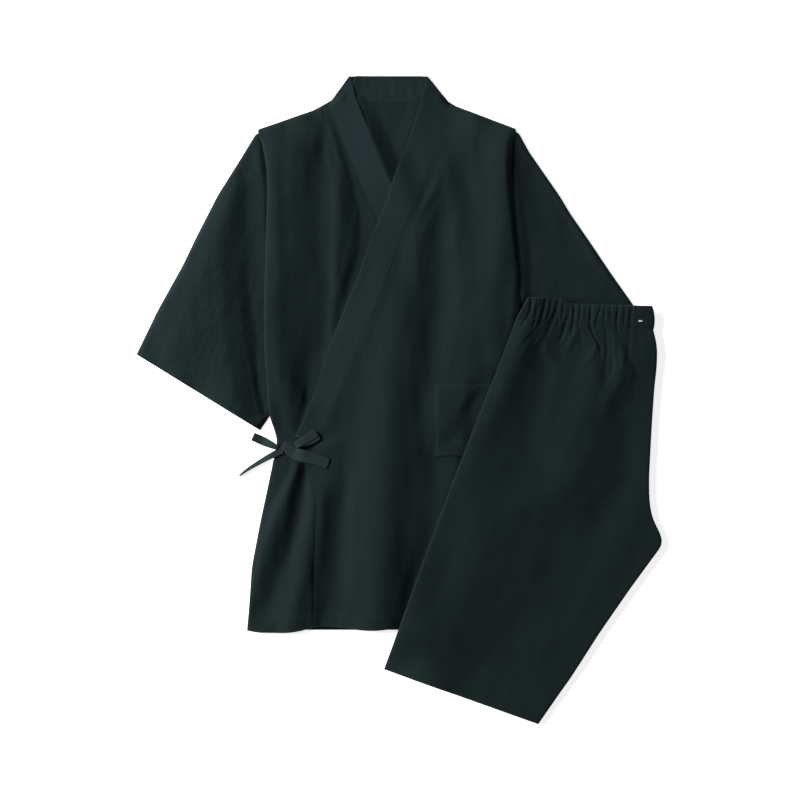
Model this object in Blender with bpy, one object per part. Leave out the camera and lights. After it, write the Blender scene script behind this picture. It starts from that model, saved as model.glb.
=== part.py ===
"""A jinbei set, laid flat: a wrap jacket with a folded collar band and side ties, and half-length trousers
with a gathered waist, folded in half and lying over the jacket's lower corner.

Every piece that is cut and sewn is a wall of cloth of its own. The pieces are laid one after the other on a
pile: each one takes its underside from the height of the cloth that already lies there. Sizes are in
millimetres and become metres when a mesh is made. X runs across the jacket, Y up towards its collar, and Z
up from the surface that the set lies on.
"""

import math

import bpy
import numpy as np
from mathutils import Vector
from mathutils.bvhtree import BVHTree

# Driving dimensions, in millimetres
MILLIMETRE = 0.001
CLOTH = 1.5  # one layer of the crinkled cotton
SEAM = 0.4  # clear space at a seam and between layers
BAND_WIDTH = 40.0  # finished collar band
BAND_CLOTH = 2.2  # the band is folded cloth, so it is thicker
TIE_CLOTH = 1.8  # a tie is a narrow strip, folded and stitched
JACKET_LENGTH = 777.0  # collar top to hem
JACKET_CENTRE = -15.8  # X of the jacket's centre line
JACKET_TOP = 454.0  # Y of the collar's top edge
TROUSERS_CORNER = (176.6, 137.5)  # X and Y of the waist's outer corner
TROUSERS_TURN = math.radians(21)  # the side edge leans this far from the jacket's length
FOLDED_THICKNESS = 4.6  # three hidden layers of the folded trousers
WAIST_DEPTH = 31.0  # gathered casing over the elastic
WAIST_WIDTH = 178.0  # the folded waist, drawn in by the elastic
GATHERS = 12  # across the half of the waist that shows
GATHER_HEIGHT = 2.3
GATHER_REACH = 26.0  # the gathers die away this far below the casing
GRID_CELL = 4.0  # one square of the height grid that the pieces are laid on

# Outlines of the jacket: rows of (down from the collar top, out from the centre line)
SIDE_EDGE = (
    (75, -182), (81, -183.5), (92, -177), (130, -170), (160, -169.4), (217, -171.5), (300, -173.6),
    (385, -173.6), (440, -170), (479, -166.3), (493, -160.6), (503, -157.6), (516, -155.3), (540, -161.6),
    (574, -168.7), (624, -179.4), (687, -191.4), (732, -194.4), (777, -198.3),
)
RIGHT_BAND_SEAM = ((40, -86), (217, -13.6), (506, 93.4), (532, 103), (774, 103))
LEFT_BAND_SEAM = (
    (38, 86.5), (80, 73.5), (120, 59.8), (150, 47), (184, 36.5), (236, 15.4), (287, -2), (388, -43.4),
    (470, -78), (506, -94.5), (517, -99),
)
LEFT_FRONT_EDGE = LEFT_BAND_SEAM + ((533, -121), (552, -113), (595, -101), (683, -103.4), (775, -102.4))
OUTER_EDGE = (
    (74, 178), (79, 180), (90, 175), (130, 173), (175, 176.4), (217, 180.6), (280, 186.9), (315, 184.8),
    (385, 178), (450, 171), (490, 165), (560, 172), (640, 183), (710, 192), (779, 197),
)
BACK_HALF_WIDTH = (
    (37, 84), (74, 157), (500, 157), (516, 153), (560, 160), (620, 174), (690, 188), (777, 195.5),
)
BACK_ROWS = (0, 0.05, 0.1, 0.25, 0.4, 0.57, 0.6, 0.625, 0.65, 0.7, 0.8, 0.9, 1)  # shares of its length
BACK_NECK_DEPTH = 37.0
BACK_NECK_HALF = 84.0
SHOULDER_SLOPE = 0.39
HEM_FROM = 700.0  # the hems wave below this line, in rows of (out, extra length)
RIGHT_HEM = ((-198, 0), (-184, 3), (-143, 4), (-128, 2.3), (-115, -0.5), (-104, -3.6), (103, 0))
LEFT_HEM = ((-103, -2.2), (-85, -3.8), (-64, -2.4), (-42, 0.2), (-21, 1.2), (1, -1.2), (14, -3.2), (197, 0))

# Sleeves: the top fold in rows of (out, down), then the underarm edge
RIGHT_SLEEVE_FOLD = (
    (168, 80), (184.5, 79.5), (208, 118), (238.8, 167), (269, 226), (287, 264), (323, 329), (352.6, 390.4),
)
LEFT_SLEEVE_FOLD = (
    (166, 80), (181, 77.5), (197, 107), (240, 169), (254, 192.5), (286, 239), (310, 275), (342.4, 321),
    (360, 350),
)
UNDERARM = ((161, 468), (180.5, 496.2))  # (out, down) where it starts under the body, and at the cuff
ARMHOLE_BOW = 4.0  # the armhole's edge bows in this far
SLEEVE_PUFF = 1.3  # the layers of a sleeve stand this far apart between its folds
FOLD_ROUNDING = 12.0  # and close up this near to them

# Collar band: the ends of the folds at both sides of the neck, inner then outer, as (out, down)
NECK_LEFT = ((-53.8, 0), (-83.5, 37))
NECK_RIGHT = ((53.9, 0), (85.5, 37))
BACK_STRIP_HALF = (44.0, 66.0)  # half width of the part behind the neck, at its top and its seam
BACK_STRIP_LEVEL = CLOTH + SEAM + BAND_CLOTH / 2
UNDER_BAND_ROWS = (46, 62, 80, 100, 130, 160, 190, 217, 270, 340, 420, 500)  # down

# Pocket, tie and knot
POCKET_SIDES = ((66, 433, 532), (150, 433, 532))  # rows of (out, top down, bottom down)
KNOT = (-140.0, 521.0)  # (out, down)
KNOT_SIZE = (22.0, 17.0, 8.0)
LOOP_TURN = 2.1  # radius at a loop's tip
LEFT_LOOP = ((-152, 521.0, 9), (-191.5, 506.0, 12))  # foot and tip as (out, down, width)
RIGHT_LOOP = ((-129, 513, 9), (-99, 496, 12))
LEFT_END = (  # rows of (out, down, width, twist in degrees)
    (-152.5, 528, 12, 10), (-170, 537, 12, 35), (-185, 544.5, 11, 50), (-200, 553, 9, 68),
    (-210.5, 560.5, 8, 78),
)
RIGHT_END = ((-128.5, 524.5, 11, 0), (-112, 531.5, 12.5, 0), (-98, 537, 13, 0), (-84, 542, 13.5, 0))

# Trousers: rows of (along the side edge from its waist corner, across from it)
TROUSERS_SIDE = ((27, -4.5), (90, -4), (275, -6), (380, -5), (551.5, -1.2))
TROUSERS_RISE = (
    (-24, 178), (-8, 193.8), (17, 203), (51, 212), (97, 226.2), (168, 249.2), (198, 261.2), (217, 272.2),
    (227, 281.5), (234, 291), (241, 298), (248.5, 300.5), (322, 280.4), (397, 262.2), (468, 247.6),
    (495, 240.6), (546, 228.2),
)
CASING_START = 27.0  # along, where the casing's seam meets the side edge
CASING_SLANT = -0.31  # the waist is cut on a slant
# The folded edge of the hidden layers: rows of (share of the thickness, distance in from the outline)
EDGE_LAYERS = (
    (0.0, 3.0), (0.12, 1.2), (0.3, 1.2), (0.33, 3.4), (0.37, 1.2), (0.63, 1.2), (0.66, 3.4), (0.7, 1.2),
    (0.88, 1.4), (1.0, 3.4),
)

# Folds. Each is a ridge along the cloth, with rows of (down, out, half width, height).
SIDE_ROLL = (
    (80, -176, 12, 2), (98, -170, 13, 8), (154, -164, 13, 9.5), (217, -164, 13, 9.5),
    (300, -167.5, 13, 9.5), (385, -167, 14, 9), (455, -157, 15, 7), (505, -142, 13, 4.5),
    (535, -139, 10, 2),
)
BREAST_RIDGE = (
    (58, -84, 8, 1), (80, -84, 9, 5), (109, -82.6, 10, 6), (194, -71.4, 10, 6), (273, -75.6, 10, 6),
    (352, -83, 10, 4), (394, -90, 10, 2), (430, -98, 10, 0),
)
SKIRT_RIDGE_OUTER = (
    (530, -141, 8, 1), (557, -139.3, 10, 5), (584, -149, 12, 7), (611, -159.6, 14, 7), (632, -168, 15, 6),
    (716, -182, 15, 3), (777, -188, 15, 1),
)
SKIRT_RIDGE_INNER = (
    (535, -124, 8, 1), (557, -118, 10, 5), (609, -120, 12, 6), (680, -126, 14, 5), (751, -136, 16, 3.5),
    (777, -138, 16, 2),
)
RIGHT_FRONT_FOLDS = (SIDE_ROLL, BREAST_RIDGE, SKIRT_RIDGE_OUTER, SKIRT_RIDGE_INNER)
ARM_ROLL = (
    (80, 166, 16, 2), (98, 162, 20, 7), (130, 160, 22, 8), (217, 166, 22, 8), (262, 170, 20, 5),
    (290, 172, 18, 1.5), (310, 172, 18, 0),
)
CHEST_RIDGE_OUTER = (
    (150, 92, 18, 0), (190, 84, 22, 4), (260, 76, 24, 4.5), (360, 66, 24, 4.5), (470, 56, 24, 4.5),
    (560, 52, 22, 2), (640, 48, 22, 0),
)
CHEST_RIDGE_INNER = (
    (140, 60, 12, 0), (200, 28, 14, 3), (260, 20, 18, 3), (360, 10, 22, 2.5), (480, 0, 24, 2.5),
    (600, -22, 26, 4), (700, -36, 28, 4.5), (777, -44, 28, 3),
)
LEFT_FRONT_FOLDS = (ARM_ROLL, CHEST_RIDGE_OUTER, CHEST_RIDGE_INNER)
SLEEVE_RIDGES = (
    ((96, -196, 8, 1), (150, -194, 12, 4), (240, -192, 13, 4), (340, -190, 14, 3), (440, -188, 12, 1.5)),
    ((150, -240, 10, 0), (220, -236, 22, 2.5), (320, -246, 26, 3), (400, -258, 22, 1.5), (430, -262, 9, 0)),
)
LEG_RIDGES = (  # rows of (along, across, half width, height)
    ((30, 24, 8, 2), (60, 22, 10, 3), (110, 16, 12, 1), (140, 14, 12, 0)),
    ((20, 62, 7, 3), (50, 60, 9, 4), (90, 52, 12, 2.5), (150, 44, 16, 0)),
    ((8, 100, 7, 3), (40, 104, 9, 4), (80, 104, 12, 2), (120, 100, 14, 0)),
    ((-4, 132, 7, 3), (30, 140, 9, 5), (80, 140, 12, 4.5), (140, 118, 16, 2), (200, 96, 22, 0)),
    ((40, 196, 12, 0), (100, 210, 16, 2.5), (170, 208, 20, 3), (260, 190, 26, 2), (360, 150, 28, 0)),
    ((120, 168, 20, 0), (200, 160, 26, 3), (300, 120, 30, 2), (400, 100, 30, 0)),
)


def smooth(t):
    """Goes from 0 to 1 with level ends as t goes from 0 to 1."""
    t = np.clip(t, 0.0, 1.0)
    return t * t * (3.0 - 2.0 * t)


def read(rows, at, column=1):
    """Reads a column of a table at a value of its first column."""
    table = np.array(rows, float)
    return np.interp(at, table[:, 0], table[:, column])


def ridge(rows, down, out):
    """The height of one fold: a raised cosine across its centre line, nothing past its ends."""
    table = np.array(rows, float)
    offset = (out - read(rows, down, 1)) / read(rows, down, 2)
    height = np.interp(down, table[:, 0], table[:, 3], left=0.0, right=0.0)
    return height * (0.5 + 0.5 * np.cos(np.pi * np.clip(offset, -1.0, 1.0)))


def on_jacket(out, down):
    """The X and Y of places on the jacket."""
    return JACKET_CENTRE + out, JACKET_TOP - down


def on_trousers(across, along):
    """The X and Y of places on the trousers, whose side edge runs down and to the left."""
    x = TROUSERS_CORNER[0] + across * math.cos(TROUSERS_TURN) - along * math.sin(TROUSERS_TURN)
    y = TROUSERS_CORNER[1] - across * math.sin(TROUSERS_TURN) - along * math.cos(TROUSERS_TURN)
    return x, y


def mesh_spots(points, faces):
    """The points of a mesh, the middles of its faces and the middles of their edges."""
    corners = points[faces]
    middles = (corners + np.roll(corners, 1, axis=1)).reshape(-1, 3) / 2
    return np.concatenate([points, corners.mean(axis=1), middles])


def gap(points, tree, others, other_tree):
    """The least distance between two meshes, measured from the points of each to the faces of the other."""
    here = min(other_tree.find_nearest(Vector(spot))[3] for spot in points)
    return min(here, min(tree.find_nearest(Vector(spot))[3] for spot in others))


class Pile:
    """The height of the cloth laid so far, on a square grid over the whole set."""

    HALF_X = 400.0
    HALF_Y = 484.0
    ABOVE = 100.0  # a level that no cloth reaches

    def __init__(self):
        self.x = np.arange(-self.HALF_X, self.HALF_X + GRID_CELL, GRID_CELL)
        self.y = np.arange(-self.HALF_Y, self.HALF_Y + GRID_CELL, GRID_CELL)
        self.height = np.zeros((len(self.x), len(self.y)))
        self.laid = []

    def add(self, points, faces):
        """Raises the pile to the top of a mesh, found by dropping a line on each cell."""
        tree = BVHTree.FromPolygons(points.tolist(), faces.tolist())
        self.laid.append((points, tree))
        low, high = points.min(axis=0), points.max(axis=0)
        for i in np.flatnonzero((self.x >= low[0]) & (self.x <= high[0])):
            for j in np.flatnonzero((self.y >= low[1]) & (self.y <= high[1])):
                start = Vector((self.x[i], self.y[j], self.ABOVE))
                hit = tree.ray_cast(start, Vector((0.0, 0.0, -1.0)))[0]
                if hit is not None:
                    self.height[i, j] = max(self.height[i, j], hit.z)

    def top_at(self, x, y):
        """The exact height of the cloth at one place, or of the bare surface."""
        start = Vector((x, y, self.ABOVE))
        hits = [tree.ray_cast(start, Vector((0.0, 0.0, -1.0)))[0] for _, tree in self.laid]
        return max([hit.z for hit in hits if hit is not None], default=0.0)

    def strap_rest(self, x, y, side, width):
        """The height that a strap lies on at each of its rungs: the highest cloth across its width."""
        shares = np.linspace(-0.5, 0.5, 5)[None, :]
        spots_x, spots_y = x[:, None] + shares * side[0] * width, y[:, None] + shares * side[1] * width
        top = np.array([max(self.top_at(*spot) for spot in zip(*row)) for row in zip(spots_x, spots_y)])
        near = np.max([np.append(top[1:], top[-1]), top, np.insert(top[:-1], 0, top[0])], axis=0)
        return (top + near) / 2

    def settle(self, points, faces):
        """Lets a small piece down, or up, until it is a seam's width clear of all that lies below it."""
        room = []
        for x, y, z in mesh_spots(points, faces):
            top = self.top_at(x, y)
            room.append(z - top - SEAM if top > 0 else z)
        points = points - np.array([0.0, 0.0, min(room)])
        low, high = points.min(axis=0) - 2, points.max(axis=0) + 2
        for _ in range(30):
            clear = SEAM
            tree = BVHTree.FromPolygons(points.tolist(), faces.tolist())
            for laid, laid_tree in self.laid:
                others = laid[np.all((laid[:, :2] > low[:2]) & (laid[:, :2] < high[:2]), axis=1)]
                if tree.overlap(laid_tree):
                    clear = 0.0
                elif len(others):
                    clear = min(clear, gap(mesh_spots(points, faces), tree, others, laid_tree))
            if clear > 0.8 * SEAM:
                break
            points = points + np.array([0.0, 0.0, SEAM / 4])
        return points

    def spread(self, cells):
        """The height with each cell as high as the highest one within a number of cells."""
        top = self.height
        for axis in (0, 1):
            top = np.max([np.roll(top, k, axis) for k in range(-cells, cells + 1)], axis=0)
        return top

    def under(self, x, y, cells=2):
        """The height to lie on, blended from the highest cloth within a few cells."""
        top = self.spread(cells)
        for axis in (0, 1):
            top = np.mean([np.roll(top, k, axis) for k in (-1, 0, 1)], axis=0)
        i = np.clip((x + self.HALF_X) / GRID_CELL, 0, len(self.x) - 1.001)
        j = np.clip((y + self.HALF_Y) / GRID_CELL, 0, len(self.y) - 1.001)
        i0, j0 = i.astype(int), j.astype(int)
        fi, fj = i - i0, j - j0
        near = top[i0, j0] * (1 - fj) + top[i0, j0 + 1] * fj
        far = top[i0 + 1, j0] * (1 - fj) + top[i0 + 1, j0 + 1] * fj
        return near * (1 - fi) + far * fi

    def clear(self, points, faces, rounds=8):
        """Raises the corners of each face of an underside that the pile still reaches above."""
        points = points.copy()
        top = self.spread(1) + SEAM
        low, high = points.min(axis=0), points.max(axis=0)
        across = np.flatnonzero((self.x >= low[0]) & (self.x <= high[0]))
        up = np.flatnonzero((self.y >= low[1]) & (self.y <= high[1]))
        for _ in range(rounds):
            tree = BVHTree.FromPolygons(points.tolist(), faces.tolist())
            rise = np.zeros(len(points))
            for i in across:
                for j in up:
                    if top[i, j] <= SEAM:
                        continue
                    start = Vector((self.x[i], self.y[j], -self.ABOVE))
                    place, _, face, _ = tree.ray_cast(start, Vector((0.0, 0.0, 1.0)))
                    if place is not None and place.z < top[i, j]:
                        corners = faces[face]
                        rise[corners] = np.maximum(rise[corners], top[i, j] - place.z)
            if rise.max() < SEAM / 20:
                break
            points[:, 2] += rise
        return points


def fabric(name, red, green, blue):
    """A dull cloth material."""
    material = bpy.data.materials.new(name)
    material.use_nodes = True
    shader = material.node_tree.nodes["Principled BSDF"]
    shader.inputs["Base Color"].default_value = (red, green, blue, 1.0)
    shader.inputs["Roughness"].default_value = 0.9
    shader.inputs["Metallic"].default_value = 0.0
    return material


def solid(name, points, faces, material):
    """Makes the object of one piece from points in millimetres."""
    mesh = bpy.data.meshes.new(name)
    mesh.from_pydata((points * MILLIMETRE).tolist(), [], faces.tolist())
    mesh.validate()
    mesh.shade_smooth()
    mesh.set_sharp_from_angle(angle=math.radians(50))
    mesh.materials.append(material)
    piece = bpy.data.objects.new(name, mesh)
    bpy.context.scene.collection.objects.link(piece)
    return piece


def net(index, flip=False):
    """Two triangles for each square of a grid of point numbers."""
    a, b = index[:-1, :-1].ravel(), index[1:, :-1].ravel()
    c, d = index[1:, 1:].ravel(), index[:-1, 1:].ravel()
    faces = np.concatenate([np.stack([a, b, c], 1), np.stack([a, c, d], 1)])
    return faces[:, ::-1] if flip else faces


def border(index):
    """The point numbers round a grid, in order."""
    return np.concatenate([index[:-1, 0], index[-1, :-1], index[:0:-1, -1], index[0, :0:-1]])


def plate(x, y, low, high):
    """A wall between two heights over a grid whose rows go down and whose columns go to the right."""
    rows, columns = x.shape
    index = np.arange(rows * columns).reshape(rows, columns)
    bottom = np.stack([x, y, low], -1).reshape(-1, 3)
    top = np.stack([x, y, high], -1).reshape(-1, 3)
    above = index + rows * columns
    ring = border(index)
    ring = np.append(ring, ring[0])
    sides = net(np.stack([ring, ring + rows * columns], 1))
    return np.concatenate([bottom, top]), np.concatenate([net(index, flip=True), net(above), sides])


def steepness(x, y, low, axis):
    """The slope of a surface along one direction of its grid."""
    run = np.hypot(np.gradient(x, axis=axis), np.gradient(y, axis=axis))
    return np.gradient(low, axis=axis) / np.maximum(run, 1e-6)


def wall_height(x, y, low):
    """The top of a wall of cloth over its underside, thicker where it slopes, so it is one cloth thick."""
    slope = np.hypot(steepness(x, y, low, 0), steepness(x, y, low, 1))
    return low + CLOTH * np.clip(np.sqrt(1.0 + slope**2), 1.0, 1.6)


def spaced(fine_share, fine_count, plain_count):
    """Fractions from 0 to 1 that lie close together at first and wider apart after fine_share."""
    fine = np.linspace(0, fine_share, fine_count + 1)
    return np.concatenate([fine, np.linspace(fine_share, 1, plain_count + 1)[1:]])


def between(left, right, rows, columns):
    """A grid between two edge tables: the fractions in rows run down both edges, columns across."""
    down_left = left[0][0] + rows * (left[-1][0] - left[0][0])
    down_right = right[0][0] + rows * (right[-1][0] - right[0][0])
    out_left, out_right = read(left, down_left), read(right, down_right)
    out = out_left[:, None] + columns[None, :] * (out_right - out_left)[:, None]
    down = down_left[:, None] + columns[None, :] * (down_right - down_left)[:, None]
    return out, down


def through(corners, count):
    """Fractions at even steps that also pass through each corner fraction."""
    even = np.linspace(0.0, 1.0, count + 1)
    clear = np.abs(even[:, None] - corners[None, :]).min(axis=1) > 0.45 / count
    return np.sort(np.concatenate([even[clear], corners]))


def rows_through(edge, count):
    """Row fractions that pass through each corner of an edge table."""
    return through((np.array(edge)[:, 0] - edge[0][0]) / (edge[-1][0] - edge[0][0]), count)


def lay(name, x, y, lift, pile, material):
    """Lays a panel on the pile, raised by its own folds, and adds it to the pile."""
    low = pile.under(x, y) + SEAM + lift
    index = np.arange(x.size).reshape(x.shape)
    underside = pile.clear(np.stack([x, y, low], -1).reshape(-1, 3), net(index))
    low = underside[:, 2].reshape(x.shape)
    points, faces = plate(x, y, low, wall_height(x, y, low))
    pile.add(points, faces)
    return solid(name, points, faces, material)


def lay_panel(name, out, down, folds, pile, material, hem=((0, 0),)):
    """Lays a panel of the jacket, whose folds are tables of ridges and whose hem waves a little."""
    down = down + read(hem, out) * smooth((down - HEM_FROM) / (JACKET_LENGTH - HEM_FROM))
    x, y = on_jacket(out, down)
    lift = sum((ridge(rows, down, out) for rows in folds), 0.0 * out)
    return lay(name, x, y, lift, pile, material)


def back(pile, material):
    """The plain back: it lies flat on the surface, from the neck and shoulders to the hem."""
    columns = np.linspace(-1.0, 1.0, 11)
    rows = np.array(BACK_ROWS)
    nominal = BACK_NECK_DEPTH + rows * (JACKET_LENGTH - BACK_NECK_DEPTH)
    out = columns[None, :] * read(BACK_HALF_WIDTH, nominal + 36 * (1 - rows))[:, None]
    shoulder = BACK_NECK_DEPTH + SHOULDER_SLOPE * np.maximum(np.abs(out) - BACK_NECK_HALF, 0)
    down = shoulder + rows[:, None] * (JACKET_LENGTH - 1 - shoulder)
    x, y = on_jacket(out, down)
    points, faces = plate(x, y, np.zeros_like(x), np.full_like(x, CLOTH))
    pile.add(points, faces)
    return solid("jacket_back", points, faces, material)


def doubled(over, under):
    """Rings that run across one grid's rows and back across the other's."""
    return np.concatenate([np.stack(over, -1), np.stack(under, -1)[:, ::-1]], 1)


def sleeve(name, side, top_edge, pile, material):
    """A flattened tube, open at the armhole and at the cuff, whose rings run from fold to underarm."""
    path = np.array(top_edge, float)
    length = np.concatenate([[0], np.cumsum(np.hypot(*np.diff(path, axis=0).T))])
    length /= length[-1]
    steps = through(length, 11)
    top = np.stack([np.interp(steps, length, path[:, k]) for k in (0, 1)])[:, :, None]
    start, end = np.array(UNDERARM, float)
    low = (start[:, None] + steps * (end - start)[:, None])[:, :, None]
    across = np.linspace(0.0, 1.0, 12)
    depth = np.hypot(*(low - top))
    bow = ARMHOLE_BOW * (1 - steps[:, None]) ** 2 * 4 * across * (1 - across)
    out, down = top + across * (low - top)
    out = out - bow
    inset = np.clip(CLOTH / depth, 0, 0.1)
    out_in, down_in = top + (inset + across * (1 - 2 * inset)) * (low - top)
    x, y = on_jacket(side * out, down)
    x_in, y_in = on_jacket(side * (out_in - bow), down_in)
    folds = sum(ridge(rows, down, -out) for rows in SLEEVE_RIDGES)
    puff = smooth(np.minimum(across, 1 - across) * depth / FOLD_ROUNDING)
    upper = 2 * CLOTH + 0.5 + puff * (SLEEVE_PUFF - 0.5 + folds)
    floor = np.zeros_like(x)
    outer = doubled((x, y, upper), (x, y, floor))
    inner = doubled((x_in, y_in, upper - CLOTH), (x_in, y_in, floor + CLOTH))
    rings, around = outer.shape[:2]
    index = np.arange(rings * around).reshape(rings, around)
    closed = np.concatenate([index, index[:, :1]], 1)
    inside = closed + rings * around
    ends = [net(np.stack([closed[0], inside[0]], 0), flip=True), net(np.stack([closed[-1], inside[-1]], 0))]
    faces = np.concatenate([net(closed), net(inside, flip=True)] + ends)
    points = np.concatenate([outer.reshape(-1, 3), inner.reshape(-1, 3)])
    faces = outward(faces, points)
    pile.add(points, faces)
    return solid(name, points, faces, material)


def ribbon(inner, outer, facing, thickness, strands=4):
    """A strip through rungs, each with two ends and the direction that its face looks in."""
    share = np.linspace(0.0, 1.0, strands)[None, :, None]
    middle = inner[:, None, :] + share * (outer - inner)[:, None, :]
    offset = facing[:, None, :] * thickness / 2
    loop = np.concatenate([middle + offset, (middle - offset)[:, ::-1]], 1)
    rungs, around = loop.shape[:2]
    index = np.arange(rungs * around).reshape(rungs, around)
    closed = np.concatenate([index, index[:, :1]], 1)
    half = around // 2
    cap = np.stack([index[:, :half], index[:, half:][:, ::-1]], 2)
    faces = np.concatenate([net(closed), net(cap[0]), net(cap[-1], flip=True)])
    return loop.reshape(-1, 3), faces


def outward(faces, points):
    """Turns the faces round if they enclose a negative volume."""
    a, b, c = (points[faces[:, k]] for k in range(3))
    volume = np.einsum("ij,ij->", a, np.cross(b, c))
    return faces if volume > 0 else faces[:, ::-1]


def across_strip(edge, width, turn):
    """The far edge of a strip whose near edge is given, square to it on the side that turn names."""
    along = np.gradient(edge, axis=0)
    along /= np.linalg.norm(along, axis=1)[:, None]
    return edge + width * turn * np.stack([along[:, 1], -along[:, 0]], 1)


def lifted(places, pile, thickness):
    """Points over places on the jacket, as high as a strip of this thickness lies there."""
    x, y = on_jacket(places[:, 0], places[:, 1])
    return np.stack([x, y, pile.under(x, y) + SEAM + thickness / 2], 1)


def level(*ends):
    """Gives the strips' ends one height at each rung, the higher of the two."""
    top = np.max([end[:, 2] for end in ends], axis=0)
    for end in ends:
        end[:, 2] = top
    return ends


def fold_over(inner, outer, away, high, low, steps=5):
    """Rungs that carry a strip round a fold line, from one height to a lower one."""
    angle = np.linspace(0.0, math.pi, steps)
    radius = (high - low) / 2
    lift = (high + low) / 2 + radius * np.cos(angle)
    shift = (radius * np.sin(angle) - radius - BAND_CLOTH / 2)[:, None] * away
    inner_rungs = np.column_stack([np.array(inner)[None, :] + shift, lift])
    outer_rungs = np.column_stack([np.array(outer)[None, :] + shift, lift])
    facing = np.column_stack([np.sin(angle)[:, None] * away, np.cos(angle)])
    return inner_rungs, outer_rungs, facing


def straight_up(count):
    """The facing of rungs whose strip lies face up."""
    return np.tile([0.0, 0.0, 1.0], (count, 1))


def right_band(pile):
    """Rungs of the band's under end: it follows the right front's seam down from the neck."""
    down = np.array(UNDER_BAND_ROWS, float)
    seam = np.column_stack([read(RIGHT_BAND_SEAM, down) + 2 * SEAM, down])
    edge = across_strip(seam, BAND_WIDTH, 1)
    return level(lifted(edge, pile, BAND_CLOTH), lifted(seam, pile, BAND_CLOTH))


def left_band(pile, down):
    """Rungs of the band's upper end: it follows the left front's seam down to the ties."""
    seam = np.column_stack([read(LEFT_BAND_SEAM, down) - 2 * SEAM, down])
    edge = across_strip(seam, BAND_WIDTH, -1)
    return lifted(edge, pile, BAND_CLOTH), lifted(seam, pile, BAND_CLOTH)


def neck_fold(ends, high):
    """The fold at one side of the neck, where the band turns from the back strip to the front."""
    corners = [np.array(on_jacket(*end)) for end in ends]
    line = corners[1] - corners[0]
    away = np.array([line[1], -line[0]]) / np.linalg.norm(line)
    if away[0] * corners[0][0] < 0:
        away = -away
    return fold_over(corners[0], corners[1], away, high, BACK_STRIP_LEVEL)


def back_strip():
    """Rungs of the band behind the neck, from the wearer's right fold to the left one, face down."""
    across = np.linspace(-1.0, 1.0, 9)
    level_row = np.full_like(across, BACK_STRIP_LEVEL)
    top = np.column_stack([*on_jacket(across * BACK_STRIP_HALF[0], 0 * across), level_row])
    seam = across * BACK_STRIP_HALF[1], np.full_like(across, BACK_NECK_DEPTH - SEAM)
    low = np.column_stack([*on_jacket(*seam), level_row])
    return top, low, -straight_up(len(across))


def rungs_mesh(parts):
    """Joins lists of rungs end to end into one strip."""
    inner, outer, facing = (np.concatenate([part[k] for part in parts]) for k in range(3))
    points, faces = ribbon(inner, outer, facing, BAND_CLOTH)
    return points, outward(faces, points)


def pocket(pile, material):
    """The patch pocket on the left front."""
    near, far = (((top, out), (bottom, out)) for out, top, bottom in POCKET_SIDES)
    out, down = between(near, far, np.linspace(0, 1, 7), np.linspace(0, 1, 8))
    return lay_panel("pocket", out, down, (), pile, material)


def gather_wave(across):
    """The gathers along the waist: rounded humps with narrow valleys, unevenly wide and high."""
    uneven = 0.012 * np.sin(across / 9.0) + 0.008 * np.sin(across / 5.3 + 1.0)
    turns = GATHERS * (across / WAIST_WIDTH + uneven)
    humps = np.abs(np.sin(math.pi * turns)) ** 0.7
    return humps * (1.0 + 0.25 * np.sin(across / 13.0) + 0.15 * np.sin(across / 7.1 + 2.0))


def trousers_layers(pile, material):
    """The hidden layers as one rounded solid that follows what lies beneath it, layered at its edges."""
    rows = np.concatenate([[-1.0, -0.45], np.linspace(0.0, 1.0, 17)])
    columns = np.linspace(0.0, 1.0, 11)
    across, along = between(TROUSERS_SIDE, TROUSERS_RISE, np.maximum(rows, 0.0), columns)
    casing = np.minimum(rows, 0.0)[:, None]
    along = along + casing * (WAIST_DEPTH - 3)
    across = across + casing * (4 * columns[None, :] - 2)
    x, y = on_trousers(across, along)
    flat = np.stack([x.ravel(), y.ravel()], 1)
    index = np.arange(x.size).reshape(x.shape)
    low = pile.under(x, y).ravel()
    low = low + SEAM * smooth(low)
    low = pile.clear(np.column_stack([flat, low]), net(index))[:, 2]
    ring = border(index)
    edge = flat[ring]
    run = np.roll(edge, -1, 0) - np.roll(edge, 1, 0)
    inwards = np.stack([-run[:, 1], run[:, 0]], 1) / np.linalg.norm(run, axis=1)[:, None]
    bottom, top = flat.copy(), flat.copy()
    bottom[ring] += inwards * EDGE_LAYERS[0][1]
    top[ring] += inwards * EDGE_LAYERS[-1][1]
    levels = [np.column_stack([bottom, low]), np.column_stack([top, low + FOLDED_THICKNESS])]
    loops = [ring]
    for share, inset in EDGE_LAYERS[1:-1]:
        loops.append(sum(len(points) for points in levels) + np.arange(len(ring)))
        levels.append(np.column_stack([edge + inwards * inset, low[ring] + share * FOLDED_THICKNESS]))
    loops.append(ring + x.size)
    stack = np.array(loops).T
    stack = np.concatenate([stack, stack[:1]], 0)
    points = np.concatenate(levels)
    faces = np.concatenate([net(index, flip=True), net(index + x.size), net(stack)])
    pile.add(points, faces)
    return solid("trousers_layers_below", points, faces, material)


def right_leg(pile, material):
    """The leg that shows: from the side fold to the rise and the inseam, below the casing."""
    rows = rows_through(TROUSERS_RISE, 22)
    columns = np.linspace(0, 1, 25)
    across, along = between(TROUSERS_SIDE, TROUSERS_RISE, rows, columns)
    below = np.maximum(along - CASING_START - CASING_SLANT * across, 0)
    lift = GATHER_HEIGHT * gather_wave(across) * np.exp(-below / GATHER_REACH)
    lift = lift + sum(ridge(fold, along, across) for fold in LEG_RIDGES)
    return lay("trousers_right_leg", *on_trousers(across, along), lift, pile, material)


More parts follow.
